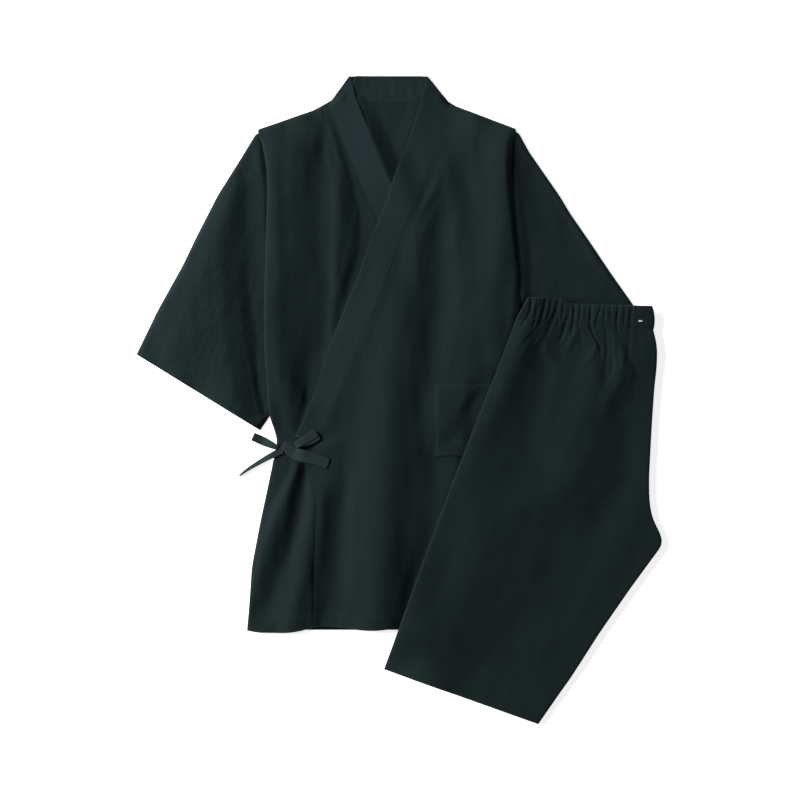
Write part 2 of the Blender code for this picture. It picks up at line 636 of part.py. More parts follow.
def waistband(pile, material):
    """The gathered casing over the elastic, above the leg."""
    columns = np.linspace(0, 1, 6 * GATHERS + 1)
    rows = np.linspace(0, 1, 5)
    above = (1 - rows)[:, None]
    start, end = TROUSERS_SIDE[0], TROUSERS_RISE[0]
    across = start[1] + columns * (end[1] - start[1]) + above * (3.0 - 7.0 * columns)
    along = start[0] + columns * (end[0] - start[0]) - 2 * SEAM - above * (WAIST_DEPTH + 3.0 * columns)
    bulge = 0.5 + 0.5 * np.sin(math.pi * rows)[:, None]
    lift = GATHER_HEIGHT * gather_wave(across) * bulge
    return lay("trousers_waistband", *on_trousers(across, along), lift, pile, material)


def flattened(value):
    """A sine or cosine with fuller shoulders."""
    return np.sign(value) * np.abs(value) ** 0.75


def knot(pile):
    """The knot: a rounded lump a little flattened, on the front's edge."""
    turns = np.linspace(0.0, 2 * math.pi, 17)
    rise = np.linspace(-math.pi / 2, math.pi / 2, 9)
    x0, y0 = on_jacket(*KNOT)
    x = x0 + KNOT_SIZE[0] / 2 * flattened(np.cos(rise))[:, None] * flattened(np.cos(turns))
    y = y0 + KNOT_SIZE[1] / 2 * flattened(np.cos(rise))[:, None] * flattened(np.sin(turns))
    z = KNOT_SIZE[2] / 2 * flattened(np.sin(rise))[:, None] + 0 * turns
    middle = np.stack([x, y, z], -1)[1:-1, :-1]
    levels, around = middle.shape[:2]
    index = np.arange(levels * around).reshape(levels, around)
    closed = np.concatenate([index, index[:, :1]], 1)
    poles = np.array([[x0, y0, -KNOT_SIZE[2] / 2], [x0, y0, KNOT_SIZE[2] / 2]])
    low, high = index.size, index.size + 1
    ring, last = closed[0], closed[-1]
    fans = [np.stack([ring[1:], ring[:-1], np.full(around, low)], 1),
            np.stack([last[:-1], last[1:], np.full(around, high)], 1)]
    points = np.concatenate([middle.reshape(-1, 3), poles])
    faces = outward(np.concatenate([net(closed, flip=True)] + fans), points)
    return pile.settle(points, faces), faces


def bring_to(points, faces, run, others, other_faces):
    """Slides a strap back along its run until it is a seam's width clear of the knot."""
    other_tree = BVHTree.FromPolygons(others.tolist(), other_faces.tolist())
    for _ in range(6):
        tree = BVHTree.FromPolygons(points.tolist(), faces.tolist())
        distance = gap(mesh_spots(points, faces), tree, others, other_tree)
        points = points - np.append(run, 0.0) * (distance - SEAM)
    return points


def tie_end(name, rows, pile, held_by, material):
    """A loose end of a tie, through rows of (out, down, width, twist in degrees)."""
    table = np.array(rows, float)
    steps = np.linspace(0, len(table) - 1, 4 * (len(table) - 1) + 1)
    out, down, width, twist = (np.interp(steps, np.arange(len(table)), table[:, k]) for k in range(4))
    x, y = on_jacket(out, down)
    run = np.array([x[-1] - x[0], y[-1] - y[0]])
    run /= np.linalg.norm(run)
    side, up = np.array([run[1], -run[0], 0.0]), np.array([0.0, 0.0, 1.0])
    lean = np.radians(twist)[:, None]
    rung = side * np.cos(lean) + up * np.sin(lean)
    facing = up * np.cos(lean) - side * np.sin(lean)
    reach = width / 2 * np.sin(np.radians(twist)) + TIE_CLOTH / 2 * np.cos(np.radians(twist))
    low = pile.strap_rest(x, y, side, (width * np.cos(np.radians(twist)))[:, None])
    half = rung * (width / 2)[:, None]
    centre = np.column_stack([x, y, low + reach])
    points, faces = ribbon(centre - half, centre + half, facing, TIE_CLOTH, strands=3)
    faces = outward(faces, points)
    points = bring_to(pile.settle(points, faces), faces, run, *held_by)
    points = pile.settle(points, faces)
    pile.add(points, faces)
    return solid(name, points, faces, material)


def bow_loop(name, ends, pile, held_by, material):
    """A loop of a bow: the strap runs out over the cloth, turns at the tip and comes back above itself."""
    (*start, width_start), (*tip, width_tip) = ends
    foot, far = np.array(on_jacket(*start)), np.array(on_jacket(*tip))
    length = np.linalg.norm(far - foot)
    run = (far - foot) / length
    side = np.array([run[1], -run[0]])
    angle = np.linspace(-math.pi / 2, math.pi / 2, 7)
    ahead = np.linspace(0.0, length - LOOP_TURN - TIE_CLOTH / 2, 7)
    along = np.concatenate([ahead[:-1], ahead[-1] + LOOP_TURN * np.cos(angle), ahead[-2::-1]])
    closing = LOOP_TURN * (0.72 + 0.28 * smooth(ahead / 12.0))
    height = np.concatenate([-closing[:-1], LOOP_TURN * np.sin(angle), closing[-2::-1]])
    tangent = np.stack([np.gradient(along), np.gradient(height)], 1)
    tangent /= np.linalg.norm(tangent, axis=1)[:, None]
    facing = np.column_stack([tangent[:, 1, None] * run, -tangent[:, 0]])
    x, y = foot[0] + along * run[0], foot[1] + along * run[1]
    width = width_start + (width_tip - width_start) * smooth(along / length)
    rest = pile.strap_rest(x, y, side, width[:, None]) + LOOP_TURN + TIE_CLOTH / 2
    centre = np.column_stack([x, y, rest + height])
    half = np.column_stack([side[0] * width / 2, side[1] * width / 2, 0 * width])
    points, faces = ribbon(centre - half, centre + half, facing, TIE_CLOTH, strands=3)
    faces = outward(faces, points)
    points = bring_to(pile.settle(points, faces), faces, run, *held_by)
    points = pile.settle(points, faces)
    pile.add(points, faces)
    return solid(name, points, faces, material)


def bow(pile, material):
    """The side tie's bow: a knot on the right front, and two loops and two loose ends that start at it."""
    held_by = knot(pile)
    solid("tie_knot", *held_by, material)
    bow_loop("tie_loop_left", LEFT_LOOP, pile, held_by, material)
    bow_loop("tie_loop_right", RIGHT_LOOP, pile, held_by, material)
    tie_end("tie_end_left", LEFT_END, pile, held_by, material)
    tie_end("tie_end_right", RIGHT_END, pile, held_by, material)


def fronts_and_band(pile, cotton, band_cotton):
    """The right front, the left front over it, and the one long band round the neck and down both."""
    strip = back_strip()
    pile.add(*rungs_mesh([strip]))
    out, down = between(SIDE_EDGE, RIGHT_BAND_SEAM, rows_through(SIDE_EDGE, 22), spaced(0.5, 14, 4))
    lay_panel("jacket_right_front", out, down, RIGHT_FRONT_FOLDS, pile, cotton, hem=RIGHT_HEM)
    inner, outer = right_band(pile)
    under_end = (inner[::-1], outer[::-1], straight_up(len(inner)))
    left_fold = neck_fold(NECK_LEFT, inner[0, 2])
    pile.add(*rungs_mesh([under_end, left_fold]))
    rows = rows_through(LEFT_FRONT_EDGE, 22)
    out, down = between(LEFT_FRONT_EDGE, OUTER_EDGE, rows, np.linspace(0, 1, 19))
    lay_panel("jacket_left_front", out, down, LEFT_FRONT_FOLDS, pile, cotton, hem=LEFT_HEM)
    inner, outer = left_band(pile, np.linspace(LEFT_BAND_SEAM[0][0], LEFT_BAND_SEAM[-1][0], 22)[1:])
    over_end = (inner, outer, straight_up(len(inner)))
    right_fold = tuple(part[::-1] for part in neck_fold(NECK_RIGHT, inner[0, 2]))
    points, faces = rungs_mesh([under_end, left_fold, strip, right_fold, over_end])
    pile.add(points, faces)
    solid("collar_band", points, faces, band_cotton)


def main():
    for old in list(bpy.data.objects):
        bpy.data.objects.remove(old, do_unlink=True)
    cotton = fabric("jacket_cotton", 0.012, 0.019, 0.019)
    band_cotton = fabric("band_cotton", 0.013, 0.021, 0.021)
    trouser_cotton = fabric("trouser_cotton", 0.012, 0.019, 0.018)
    pile = Pile()
    back(pile, cotton)
    sleeve("right_sleeve", -1, RIGHT_SLEEVE_FOLD, pile, cotton)
    sleeve("left_sleeve", 1, LEFT_SLEEVE_FOLD, pile, cotton)
    fronts_and_band(pile, cotton, band_cotton)
    pocket(pile, cotton)
    bow(pile, band_cotton)
    trousers_layers(pile, trouser_cotton)
    right_leg(pile, trouser_cotton)
    waistband(pile, trouser_cotton)


main()
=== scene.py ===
"""A jinbei set, laid flat: a wrap jacket tied at its side, and half-length trousers folded over its corner.

Sizes are in millimetres until a mesh is made. X runs across the jacket, Y up to its collar, and Z up from the
surface. The pieces of cloth are laid one after the other on the heap of those that lie there already.
"""

import math

import bmesh
import bpy
import numpy as np
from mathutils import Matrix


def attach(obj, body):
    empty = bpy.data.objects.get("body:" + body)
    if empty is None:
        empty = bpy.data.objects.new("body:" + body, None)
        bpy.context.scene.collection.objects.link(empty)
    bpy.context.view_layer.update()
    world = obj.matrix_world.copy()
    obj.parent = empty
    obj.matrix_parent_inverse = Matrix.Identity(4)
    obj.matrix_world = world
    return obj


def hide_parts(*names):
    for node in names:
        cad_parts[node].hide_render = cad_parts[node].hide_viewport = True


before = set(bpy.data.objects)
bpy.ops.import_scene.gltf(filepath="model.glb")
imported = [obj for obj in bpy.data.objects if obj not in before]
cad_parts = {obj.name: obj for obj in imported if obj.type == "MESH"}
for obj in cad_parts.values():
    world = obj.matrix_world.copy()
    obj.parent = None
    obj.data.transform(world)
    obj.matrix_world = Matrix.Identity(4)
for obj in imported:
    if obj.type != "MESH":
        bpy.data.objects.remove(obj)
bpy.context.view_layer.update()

# ------------------------------------------------------------
# The table it lies on, the light and the camera. The table is a plain pale board, and a broad lamp stands
# low at the upper left, so that the folds show, with a soft pale room all round.
MM = 0.001
TABLE_HALF = 9.0
TABLE_LEVEL = -0.0004  # a hair below the cloth


def material_of(name, roughness, specular):
    """A material with one Principled shader, and that shader."""
    material = bpy.data.materials.new(name)
    material.use_nodes = True
    shader = material.node_tree.nodes["Principled BSDF"]
    shader.inputs["Roughness"].default_value = roughness
    shader.inputs["Specular IOR Level"].default_value = specular
    return material, shader


def make(name, points, faces):
    """An object from arrays of points, in metres, and of faces."""
    mesh = bpy.data.meshes.new(name)
    mesh.from_pydata(points.tolist(), [], faces.tolist())
    piece = bpy.data.objects.new(name, mesh)
    bpy.context.scene.collection.objects.link(piece)
    return piece


def lamp(name, place, size, power):
    """A square lamp that looks at the middle of the table from a place in metres."""
    light = bpy.data.lights.new(name, "AREA")
    light.size = size
    light.energy = power
    holder = bpy.data.objects.new(name, light)
    holder.location = place
    away = np.array(place) / np.linalg.norm(place)
    holder.rotation_euler = (math.acos(away[2]), 0.0, math.atan2(away[1], away[0]) + math.pi / 2)
    bpy.context.scene.collection.objects.link(holder)


board, board_shader = material_of("pale_board", 0.9, 0.1)
board_shader.inputs["Base Color"].default_value = (0.86, 0.86, 0.86, 1.0)
board_shader.inputs["Emission Color"].default_value = (1.0, 1.0, 1.0, 1.0)
board_shader.inputs["Emission Strength"].default_value = 0.8
corners = [(TABLE_HALF * a, TABLE_HALF * b, TABLE_LEVEL) for a, b in ((-1, -1), (1, -1), (1, 1), (-1, 1))]
table_top = make("table_top", np.array(corners), np.array([(0, 1, 2, 3)]))
table_top.data.materials.append(board)

lamp("lamp_window", (-3.3, 1.05, 2.05), 2.0, 400.0)
lamp("lamp_fill", (0.6, -0.4, 4.5), 3.0, 9.0)
room = bpy.data.worlds.new("pale_room")
room.use_nodes = True
room.node_tree.nodes["Background"].inputs["Color"].default_value = (0.8, 1.0, 0.97, 1.0)
room.node_tree.nodes["Background"].inputs["Strength"].default_value = 0.05
bpy.context.scene.world = room
bpy.context.scene.view_settings.view_transform = "Standard"

LENS = 200.0
SENSOR = 36.0
VIEW_WIDTH = 1120.0  # of the cloth, from edge to edge of the picture
VIEW_MIDDLE = (0.35, 0.05)
VIEW_LEVEL = 8.0  # height of the cloth that this width is measured at
lens = bpy.data.cameras.new("camera")
lens.lens = LENS
lens.sensor_width = SENSOR
lens.clip_start = 0.1
lens.clip_end = 60.0
camera = bpy.data.objects.new("camera", lens)
camera.location = [MM * place for place in (*VIEW_MIDDLE, VIEW_WIDTH * LENS / SENSOR + VIEW_LEVEL)]
bpy.context.scene.collection.objects.link(camera)
bpy.context.scene.camera = camera

# ------------------------------------------------------------
# The jacket's back: one panel of crinkled cotton, very dark green, flat on the table. Its neck is hollowed
# and the collar band is sewn round it. The inside shows in the neck's opening.
CLOTH = 0.8  # wall of one layer
CELL = 2.0  # square of the heap's height field
MESH = 3.0  # square of a piece's own mesh
JACKET_CENTRE = -15.8
JACKET_TOP = 454.0
DARK = (0.0042, 0.0092, 0.0094, 1.0)
PALE = (0.0096, 0.0172, 0.0180, 1.0)

field_x, field_y = np.meshgrid(np.arange(-400.0, 401.0, CELL), np.arange(-490.0, 491.0, CELL), indexing="ij")
heap = np.zeros_like(field_x)


def smooth(t):
    """Goes from 0 to 1 with level ends: t squared times (3 - 2 t), with t held between 0 and 1."""
    t = np.clip(t, 0.0, 1.0)
    return t * t * (3.0 - 2.0 * t)


def read(rows, at, column=1, reach=9.0):
    """Column of a table at a value of its first one, as the mean over a short reach, less near its ends."""
    table = np.array(rows, float)
    at = np.clip(at, table[0, 0], table[-1, 0])
    reach = np.minimum(reach, np.minimum(at - table[0, 0], table[-1, 0] - at))
    spots = [np.interp(at + k * reach, table[:, 0], table[:, column]) for k in (-1, -0.5, 0, 0.5, 1)]
    return np.mean(spots, axis=0)


def on_jacket(out, down):
    """X and Y of a place on the jacket: out from its centre line and down from the collar's top."""
    return JACKET_CENTRE + out, JACKET_TOP - down


def inside(outline, x, y):
    """True within a closed outline: a line from the place crosses its sides an odd number of times."""
    result = np.zeros(x.shape, bool)
    for (x0, y0), (x1, y1) in zip(outline, np.roll(outline, -1, axis=0)):
        if y0 != y1:
            crosses = ((y0 > y) != (y1 > y)) & (x < x0 + (y - y0) * (x1 - x0) / (y1 - y0))
            result ^= crosses
    return result


def steps(length, near, far, cell):
    """Distances across a piece: near's own first ones, even ones about a cell apart, then far's own."""
    length = np.atleast_1d(np.asarray(length, float))[:, None]
    near, far = np.array(near, float), np.array(far, float)
    count = max(2, round((length.max() - near[-1] - far[-1]) / cell))
    even = np.linspace(0, 1, count + 1)[1:-1]
    rows = np.ones_like(length)
    return np.concatenate(
        [rows * near, near[-1] + even * (length - near[-1] - far[-1]), length - rows * far[::-1]], axis=1
    )


def patch(left, right, near, far, top, hem, cell=MESH):
    """Straight rows between two edge tables, finer at the edges, and each place's distance from the four."""
    span = abs(left[-1][0] - left[0][0])
    from_top = steps(span, top, hem, cell)[0]
    share = from_top / span
    down_left = left[0][0] + share * (left[-1][0] - left[0][0])
    down_right = right[0][0] + share * (right[-1][0] - right[0][0])
    out_left, out_right = read(left, down_left), read(right, down_right)
    width = np.hypot(out_right - out_left, down_right - down_left)
    from_left = steps(width, near, far, cell)
    part = from_left / width[:, None]
    out = out_left[:, None] + part * (out_right - out_left)[:, None]
    down = down_left[:, None] + part * (down_right - down_left)[:, None]
    from_top = np.broadcast_to(from_top[:, None], out.shape)
    return out, down, from_left, width[:, None] - from_left, from_top, span - from_top


def rim(distance, reach, depth):
    """How far a rounded edge falls: a quarter of an ellipse, reach wide and depth high."""
    t = 1.0 - np.clip(distance / reach, 0.0, 1.0)
    return depth * (1.0 - np.sqrt(1.0 - t * t))


def fold(rows, down, out, reach=9.0):
    """A ridge or trough: a raised cosine over its left and right half widths.

    The columns of its rows: down, out, left, right, height.
    """
    table = np.array(rows, float)
    offset = out - read(rows, down, 1, reach)
    half = np.where(offset < 0, read(rows, down, 2, reach), read(rows, down, 3, reach))
    ends = (down >= table[0, 0]) & (down <= table[-1, 0])
    wave = 0.5 + 0.5 * np.cos(math.pi * np.clip(offset / half, -1.0, 1.0))
    return ends * read(rows, down, 4, reach) * wave


def ripple(a, b, size_a, size_b, seed):
    """Soft uneven swellings: nine sine waves of chance direction and phase, about size_a by size_b long."""
    chance = np.random.default_rng(seed)
    total = np.zeros(np.shape(a))
    for _ in range(9):
        turn, phase, pace = (chance.uniform(*ends) for ends in ((0, math.pi), (0, 2 * math.pi), (0.6, 1.6)))
        way = a / size_a * math.cos(turn) + b / size_b * math.sin(turn)
        total += np.sin(2 * math.pi * pace * way + phase)
    return total / 4.5


def run_of(points, axis=0):
    """The distance run from the first point, along one axis of a grid of points."""
    moves = np.diff(points, axis=axis, prepend=points.take([0], axis))
    return np.cumsum(np.linalg.norm(moves, axis=-1), axis=axis)


def unrolled(piece, places):
    """Gives a piece smooth faces and its UV map, from a place on the cloth for each corner of a face."""
    piece.data.uv_layers.new(name="cloth").data.foreach_set("uv", places.ravel())
    piece.data.shade_smooth()
    return piece


def surface(name, x, y, z, wear_and_painted_light, around=False, crinkle=0.35, grain=None):
    """A mesh over a grid whose rows run down and columns to the right; around closes each row into a loop.

    Its UV map is the distance over the cloth in metres, across and along its grain: the mesh's own rows and
    columns, or the flat X and Y turned by the grain's angle. Wear, which carries painted highlights on the
    fronts, and crinkle are attributes.
    """
    points = np.stack([x, y, z], -1) * MM
    rows, columns = x.shape
    index = np.arange(rows * columns).reshape(rows, columns)
    over = np.concatenate([points, points[:, :1]], 1) if around else points
    if around:
        index = np.concatenate([index, index[:, :1]], 1)
    quads = np.stack([index[:-1, :-1], index[1:, :-1], index[1:, 1:], index[:-1, 1:]], -1).reshape(-1, 4)
    across, along = run_of(over, 1), run_of(over)
    across -= across[:, over.shape[1] // 2, None]
    along = np.broadcast_to(along[:, over.shape[1] // 2, None], across.shape)
    if grain is not None:
        across = over[..., 0] * math.cos(grain) + over[..., 1] * math.sin(grain)
        along = over[..., 1] * math.cos(grain) - over[..., 0] * math.sin(grain)
    loops = np.arange(across.size).reshape(across.shape)
    loops = np.stack([loops[:-1, :-1], loops[1:, :-1], loops[1:, 1:], loops[:-1, 1:]], -1).reshape(-1)
    places = np.stack([across, along], -1).reshape(-1, 2)[loops]
    piece = unrolled(make(name, points.reshape(-1, 3), quads), places)
    for title, value in (("wear_and_painted_light", wear_and_painted_light), ("crinkle", crinkle)):
        kept = piece.data.attributes.new(title, "FLOAT", "POINT")
        kept.data.foreach_set("value", np.broadcast_to(value, x.shape).ravel().astype(np.float32))
    return piece


def wall(piece, thickness):
    """Gives a surface its cloth thickness, inwards from the side that shows."""
    solid = piece.modifiers.new("wall", "SOLIDIFY")
    solid.thickness = thickness * MM
    solid.offset = -1.0
    return piece


def finish_piece(piece, material, node):
    """Gives a piece its material, puts it under the root body, and hides the node it stands for."""
    piece.data.materials.append(material)
    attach(piece, "root")
    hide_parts(node)


def crinkled_cotton():
    """The cloth's pattern as a node group: from the UV map, a colour, a roughness and a height in mm.

    The crinkle is two stretched noises, the threads a product of two sines, and the colour follows them both.
    """
    group = bpy.data.node_groups.new("crinkled_cotton", "ShaderNodeTree")
    for name, way, kind in (
        ("Place", "INPUT", "Vector"), ("Wear_and_painted_light", "INPUT", "Float"), ("Dark", "INPUT", "Color"),
        ("Pale", "INPUT", "Color"), ("Crinkle", "INPUT", "Float"), ("Colour", "OUTPUT", "Color"),
        ("Roughness", "OUTPUT", "Float"), ("Height", "OUTPUT", "Float"),
    ):
        group.interface.new_socket(name=name, in_out=way, socket_type="NodeSocket" + kind)
    nodes, links = group.nodes, group.links
    given, result = nodes.new("NodeGroupInput"), nodes.new("NodeGroupOutput")

    def number(kind, *values):
        """One sum, of values or of other nodes' outputs."""
        node = nodes.new("ShaderNodeMath")
        node.operation = kind
        for place, value in enumerate(values):
            if isinstance(value, (int, float)):
                node.inputs[place].default_value = value
            else:
                links.new(value, node.inputs[place])
        return node.outputs[0]

    def noise(per_metre, detail):
        """A noise over the cloth with its own number of swells a metre, each way."""
        turned = nodes.new("ShaderNodeMapping")
        turned.inputs["Scale"].default_value = (*per_metre, 1.0)
        made = nodes.new("ShaderNodeTexNoise")
        made.noise_dimensions = "2D"
        made.inputs["Scale"].default_value = 1.0
        made.inputs["Detail"].default_value = detail
        links.new(given.outputs["Place"], turned.inputs["Vector"])
        links.new(turned.outputs["Vector"], made.inputs["Vector"])
        return made.outputs["Fac"]

    parts = nodes.new("ShaderNodeSeparateXYZ")
    links.new(given.outputs["Place"], parts.inputs[0])
    thread = number(
        "MULTIPLY",
        number("SINE", number("MULTIPLY", parts.outputs["X"], 2 * math.pi / 0.0007)),
        number("SINE", number("MULTIPLY", parts.outputs["Y"], 2 * math.pi / 0.0009)),
    )
    pucker = noise((330.0, 120.0), 3.0)
    swell = noise((70.0, 34.0), 2.0)
    slub = noise((900.0, 40.0), 1.0)
    mottle = noise((16.0, 10.0), 2.0)
    crinkle = number("ADD", number("MULTIPLY", pucker, 0.42), number("MULTIPLY", swell, 0.9))
    height = number("MULTIPLY_ADD", crinkle, given.outputs["Crinkle"], number("MULTIPLY", thread, 0.03))
    tone = number("MULTIPLY_ADD", thread, 0.06, -0.2)
    # The wear input makes the colour paler: edge wear on every piece, and on the fronts painted highlights
    # below the shoulder and above the hem.
    for part, share in ((pucker, 0.55), (slub, 0.35), (mottle, 0.45), (given.outputs["Wear_and_painted_light"], 0.35)):
        tone = number("MULTIPLY_ADD", part, share, tone)
    mix = nodes.new("ShaderNodeMix")
    mix.data_type = "RGBA"
    links.new(tone, mix.inputs["Factor"])
    links.new(given.outputs["Dark"], mix.inputs["A"])
    links.new(given.outputs["Pale"], mix.inputs["B"])
    links.new(mix.outputs["Result"], result.inputs["Colour"])
    links.new(number("MULTIPLY_ADD", pucker, 0.2, 0.75), result.inputs["Roughness"])
    links.new(height, result.inputs["Height"])
    return group


def dyed_cotton(name, pattern, dark, pale, bump):
    """A cloth material: the pattern drives colour, roughness and bump of one dull shader with a faint nap."""
    material, shader = material_of(name, 0.85, 0.06)
    shader.inputs["Sheen Weight"].default_value = 0.06
    shader.inputs["Sheen Roughness"].default_value = 0.5
    shader.inputs["Sheen Tint"].default_value = (0.55, 0.8, 0.85, 1.0)
    nodes, links = material.node_tree.nodes, material.node_tree.links
    cloth, place, paleness, pucker, raised = (
        nodes.new(kind)
        for kind in (
            "ShaderNodeGroup", "ShaderNodeUVMap", "ShaderNodeAttribute", "ShaderNodeAttribute", "ShaderNodeBump"
        )
    )
    cloth.node_tree = pattern
    place.uv_map = "cloth"
    # This attribute holds edge wear, and on the fronts painted highlights below the shoulder and above the hem.
    paleness.attribute_name = "wear_and_painted_light"
    pucker.attribute_name = "crinkle"
    raised.inputs["Distance"].default_value = MM
    raised.inputs["Strength"].default_value = bump
    cloth.inputs["Dark"].default_value = dark
    cloth.inputs["Pale"].default_value = pale
    links.new(place.outputs["UV"], cloth.inputs["Place"])
    links.new(paleness.outputs["Fac"], cloth.inputs["Wear_and_painted_light"])
    links.new(pucker.outputs["Fac"], cloth.inputs["Crinkle"])
    links.new(cloth.outputs["Colour"], shader.inputs["Base Color"])
    links.new(cloth.outputs["Roughness"], shader.inputs["Roughness"])
    links.new(cloth.outputs["Height"], raised.inputs["Height"])
    links.new(raised.outputs["Normal"], shader.inputs["Normal"])
    return material


pattern = crinkled_cotton()
jacket_cotton = dyed_cotton("jacket_cotton", pattern, DARK, PALE, 1.0)
HEM_EDGE = (0.0, 0.25, 0.7, 1.4)  # fine steps at a turned edge
BACK_LEFT = (
    (28, -72), (37, -84), (74, -157), (500, -157), (516, -153), (560, -160), (620, -174), (690, -188),
    (776, -195.5),
)
BACK_RIGHT = tuple((down, -out) for down, out in BACK_LEFT)
UNDER_EDGE = (25, -49)  # down and out of the upper end of the under band's free edge
UNDER_EDGE_SLANT = 0.409  # how far out that edge runs for each millimetre down
BACK_SWELL = 0.25
NECK_DEPTH, NECK_STAND = 37, 1.9  # how far the neck is hollowed, and stands up
# down, height at that edge
BACK_RISE = ((10, 1.5), (40, 3.4), (80, 9.0), (125, 9.4), (165, 8.0), (200, 1.5), (230, 0.0))
BACK_NECK_FOLD = ((20, 50, 18, 8, 0.5), (60, 37, 22, 8, 2), (95, 25, 20, 8, 1.5), (125, 15, 18, 8, 0))

out, down, left, right, top, hem = patch(BACK_LEFT, BACK_RIGHT, HEM_EDGE, HEM_EDGE, HEM_EDGE, HEM_EDGE, 4.0)
x, y = on_jacket(out, down)
z = CLOTH + BACK_SWELL * (1 + ripple(out, down, 60, 90, 3)) * smooth(np.minimum(left, right) / 20)
z = z + NECK_STAND * np.exp(-np.maximum(down - NECK_DEPTH, 0) / 14) * smooth((90 - np.abs(out)) / 10)
beyond = out - (UNDER_EDGE[1] + (down - UNDER_EDGE[0]) * UNDER_EDGE_SLANT)
slope = np.where(beyond < 0, np.exp(beyond / 14), np.clip(1 - beyond / 25, 0, 1) ** 1.2)
z = z + read(BACK_RISE, down) * slope * (down < BACK_RISE[-1][0]) + fold(BACK_NECK_FOLD, down, out)
z = np.maximum(z - rim(np.minimum(np.minimum(left, right), hem), 1.4, 0.5), CLOTH)
back = wall(surface("back_panel", x, y, z, np.exp(-np.minimum(left, right) / 3)), CLOTH)
finish_piece(back, jacket_cotton, "jacket_back")
back_outline = [on_jacket(out, down) for down, out in BACK_LEFT + BACK_RIGHT[::-1]]
heap = np.where(inside(back_outline, field_x, field_y), CLOTH + 2 * BACK_SWELL, heap)

# ------------------------------------------------------------
# The sleeves: wide tubes of the same cotton, folded along the top, joined under the arm and hemmed at the
# cuff. They lie flattened, each with its armhole seam under the rolled side of the front.
TROUSERS_CORNER = (176.6, 137.5)  # of their side fold and the waist, over the jacket's corner
TROUSERS_TURN = math.radians(21)
SLEEVE_MID = 1.5  # height of the folds' outermost line
SLEEVE_LIFT = 3.2  # of the upper layer above the lower one
SLEEVE_GRAIN = 0.53  # turn of the cloth's threads
SLEEVE_GAIN = 0.7  # what the tube is wider at each fold, for its rounding
SLEEVE_BOW = 4.0  # how far the armhole side curves in
CUFF_HEM = 22.0  # depth of the turned cuff
UNDERARM = ((161.0, 468.0), (180.5, 496.2))
RIGHT_SLEEVE_FOLD = (
    (168, 80), (184.5, 79.5), (208, 118), (238.8, 167), (269, 226), (287, 264), (323, 329), (352.6, 390.4),
)
LEFT_SLEEVE_FOLD = (
    (166, 80), (181, 77.5), (197, 107), (240, 169), (254, 192.5), (286, 239), (310, 275), (342.4, 321),
    (360, 350),
)
RIGHT_SLEEVE_FOLDS = (  # down, out, left, right, height
    ((126, -206, 19, 21, -0.2), (168, -219, 21, 23, 5.3), (224, -240, 48, 47, 9.3), (287, -245, 62, 51, 9.5),
     (357, -236, 73, 54, 9.5), (413, -224, 73, 42, 7.4), (455, -217, 57, 36, 9.3), (490, -208, 42, 38, 4.8)),
    ((133, -203, 16, 12, -2.4), (161, -199, 17, 14, 0.1), (224, -184, 24, 20, -1.6), (301, -186, 27, 14, -4.8),
     (378, -174, 28, 16, -4.7), (434, -170, 21, 8, -8.5), (476, -162, 22, 15, -8.2)),
    ((74, -186, 6, 7, -1), (88, -175, 6, 12, -2.6), (119, -175, 7, 9, -1.4), (161, -168, 6, 7, 0.2),
     (217, -166, 8, 9, -2.6), (455, -166, 9, 9, -4.7)),
    ((91, -182, 10, 6, 0), (119, -178, 19, 9, 2.9), (161, -175, 14, 4, 1.3), (231, -171, 12, 7, -0.7),
     (315, -172, 15, 8, -3.7), (427, -165, 13, 6, 0.6), (469, -172, 11, 6, 0)),
    ((357, -230, 4, 6, 0), (373, -234, 4, 6, 0.3), (393, -242, 4, 6, 0.7), (411, -249, 4, 4, 0)),
    ((252, -263, 36, 36, 0), (294, -287, 30, 47, 4.1), (343, -295, 46, 55, 6.4), (385, -296, 45, 54, 7.5),
     (415, -293, 26, 49, 4), (455, -312, 28, 48, 4)),
)
LEFT_SLEEVE_FOLDS = (
    ((119, 199, 14, 11, 0), (135, 211, 17, 11, -1.9), (175, 229, 30, 17, -1.8), (217, 254, 43, 19, -2.9),
     (261, 281, 48, 17, -1), (301, 302, 50, 17, 0.6), (340, 321, 50, 17, 0.5)),
    ((105, 196, 11, 11, 0), (154, 203, 21, 18, -2.5), (196, 211, 21, 26, -2.5), (245, 226, 28, 25, 0),
     (294, 241, 28, 22, 0)),
    ((88, 174, 14, 10, 0), (126, 175, 14, 10, 1.3), (217, 181, 14, 17, 3.9), (280, 186, 14, 17, 3),
     (315, 187, 14, 13, 4.3), (350, 182, 14, 11, 0)),
)
FOLDED_EDGE = (0.0, 0.1, 0.35, 0.8, 1.5, 2.5, 4.0, 6.0)  # fine steps at a folded edge


def from_trousers(x, y):
    """Across and along of an X and Y."""
    x, y = x - TROUSERS_CORNER[0], y - TROUSERS_CORNER[1]
    across = x * math.cos(TROUSERS_TURN) - y * math.sin(TROUSERS_TURN)
    return across, -x * math.sin(TROUSERS_TURN) - y * math.cos(TROUSERS_TURN)


def pressed(x, y):
    """How far the folds lie flat beneath the trousers: 0 outside them, and 1 within."""
    across, along = from_trousers(x, y)
    return smooth((across + 9) / 20) * smooth((along + 5.9 + 0.31 * across + 9) / 20)


def settled(height):
    """Holds a height above nought: half the sum of it and the root of its square plus 1."""
    return 0.5 * (height + np.sqrt(height * height + 1.0))


def bell(t):
    """1 at nought, and less on both sides: e to the power of minus t squared."""
    return np.exp(-t * t)


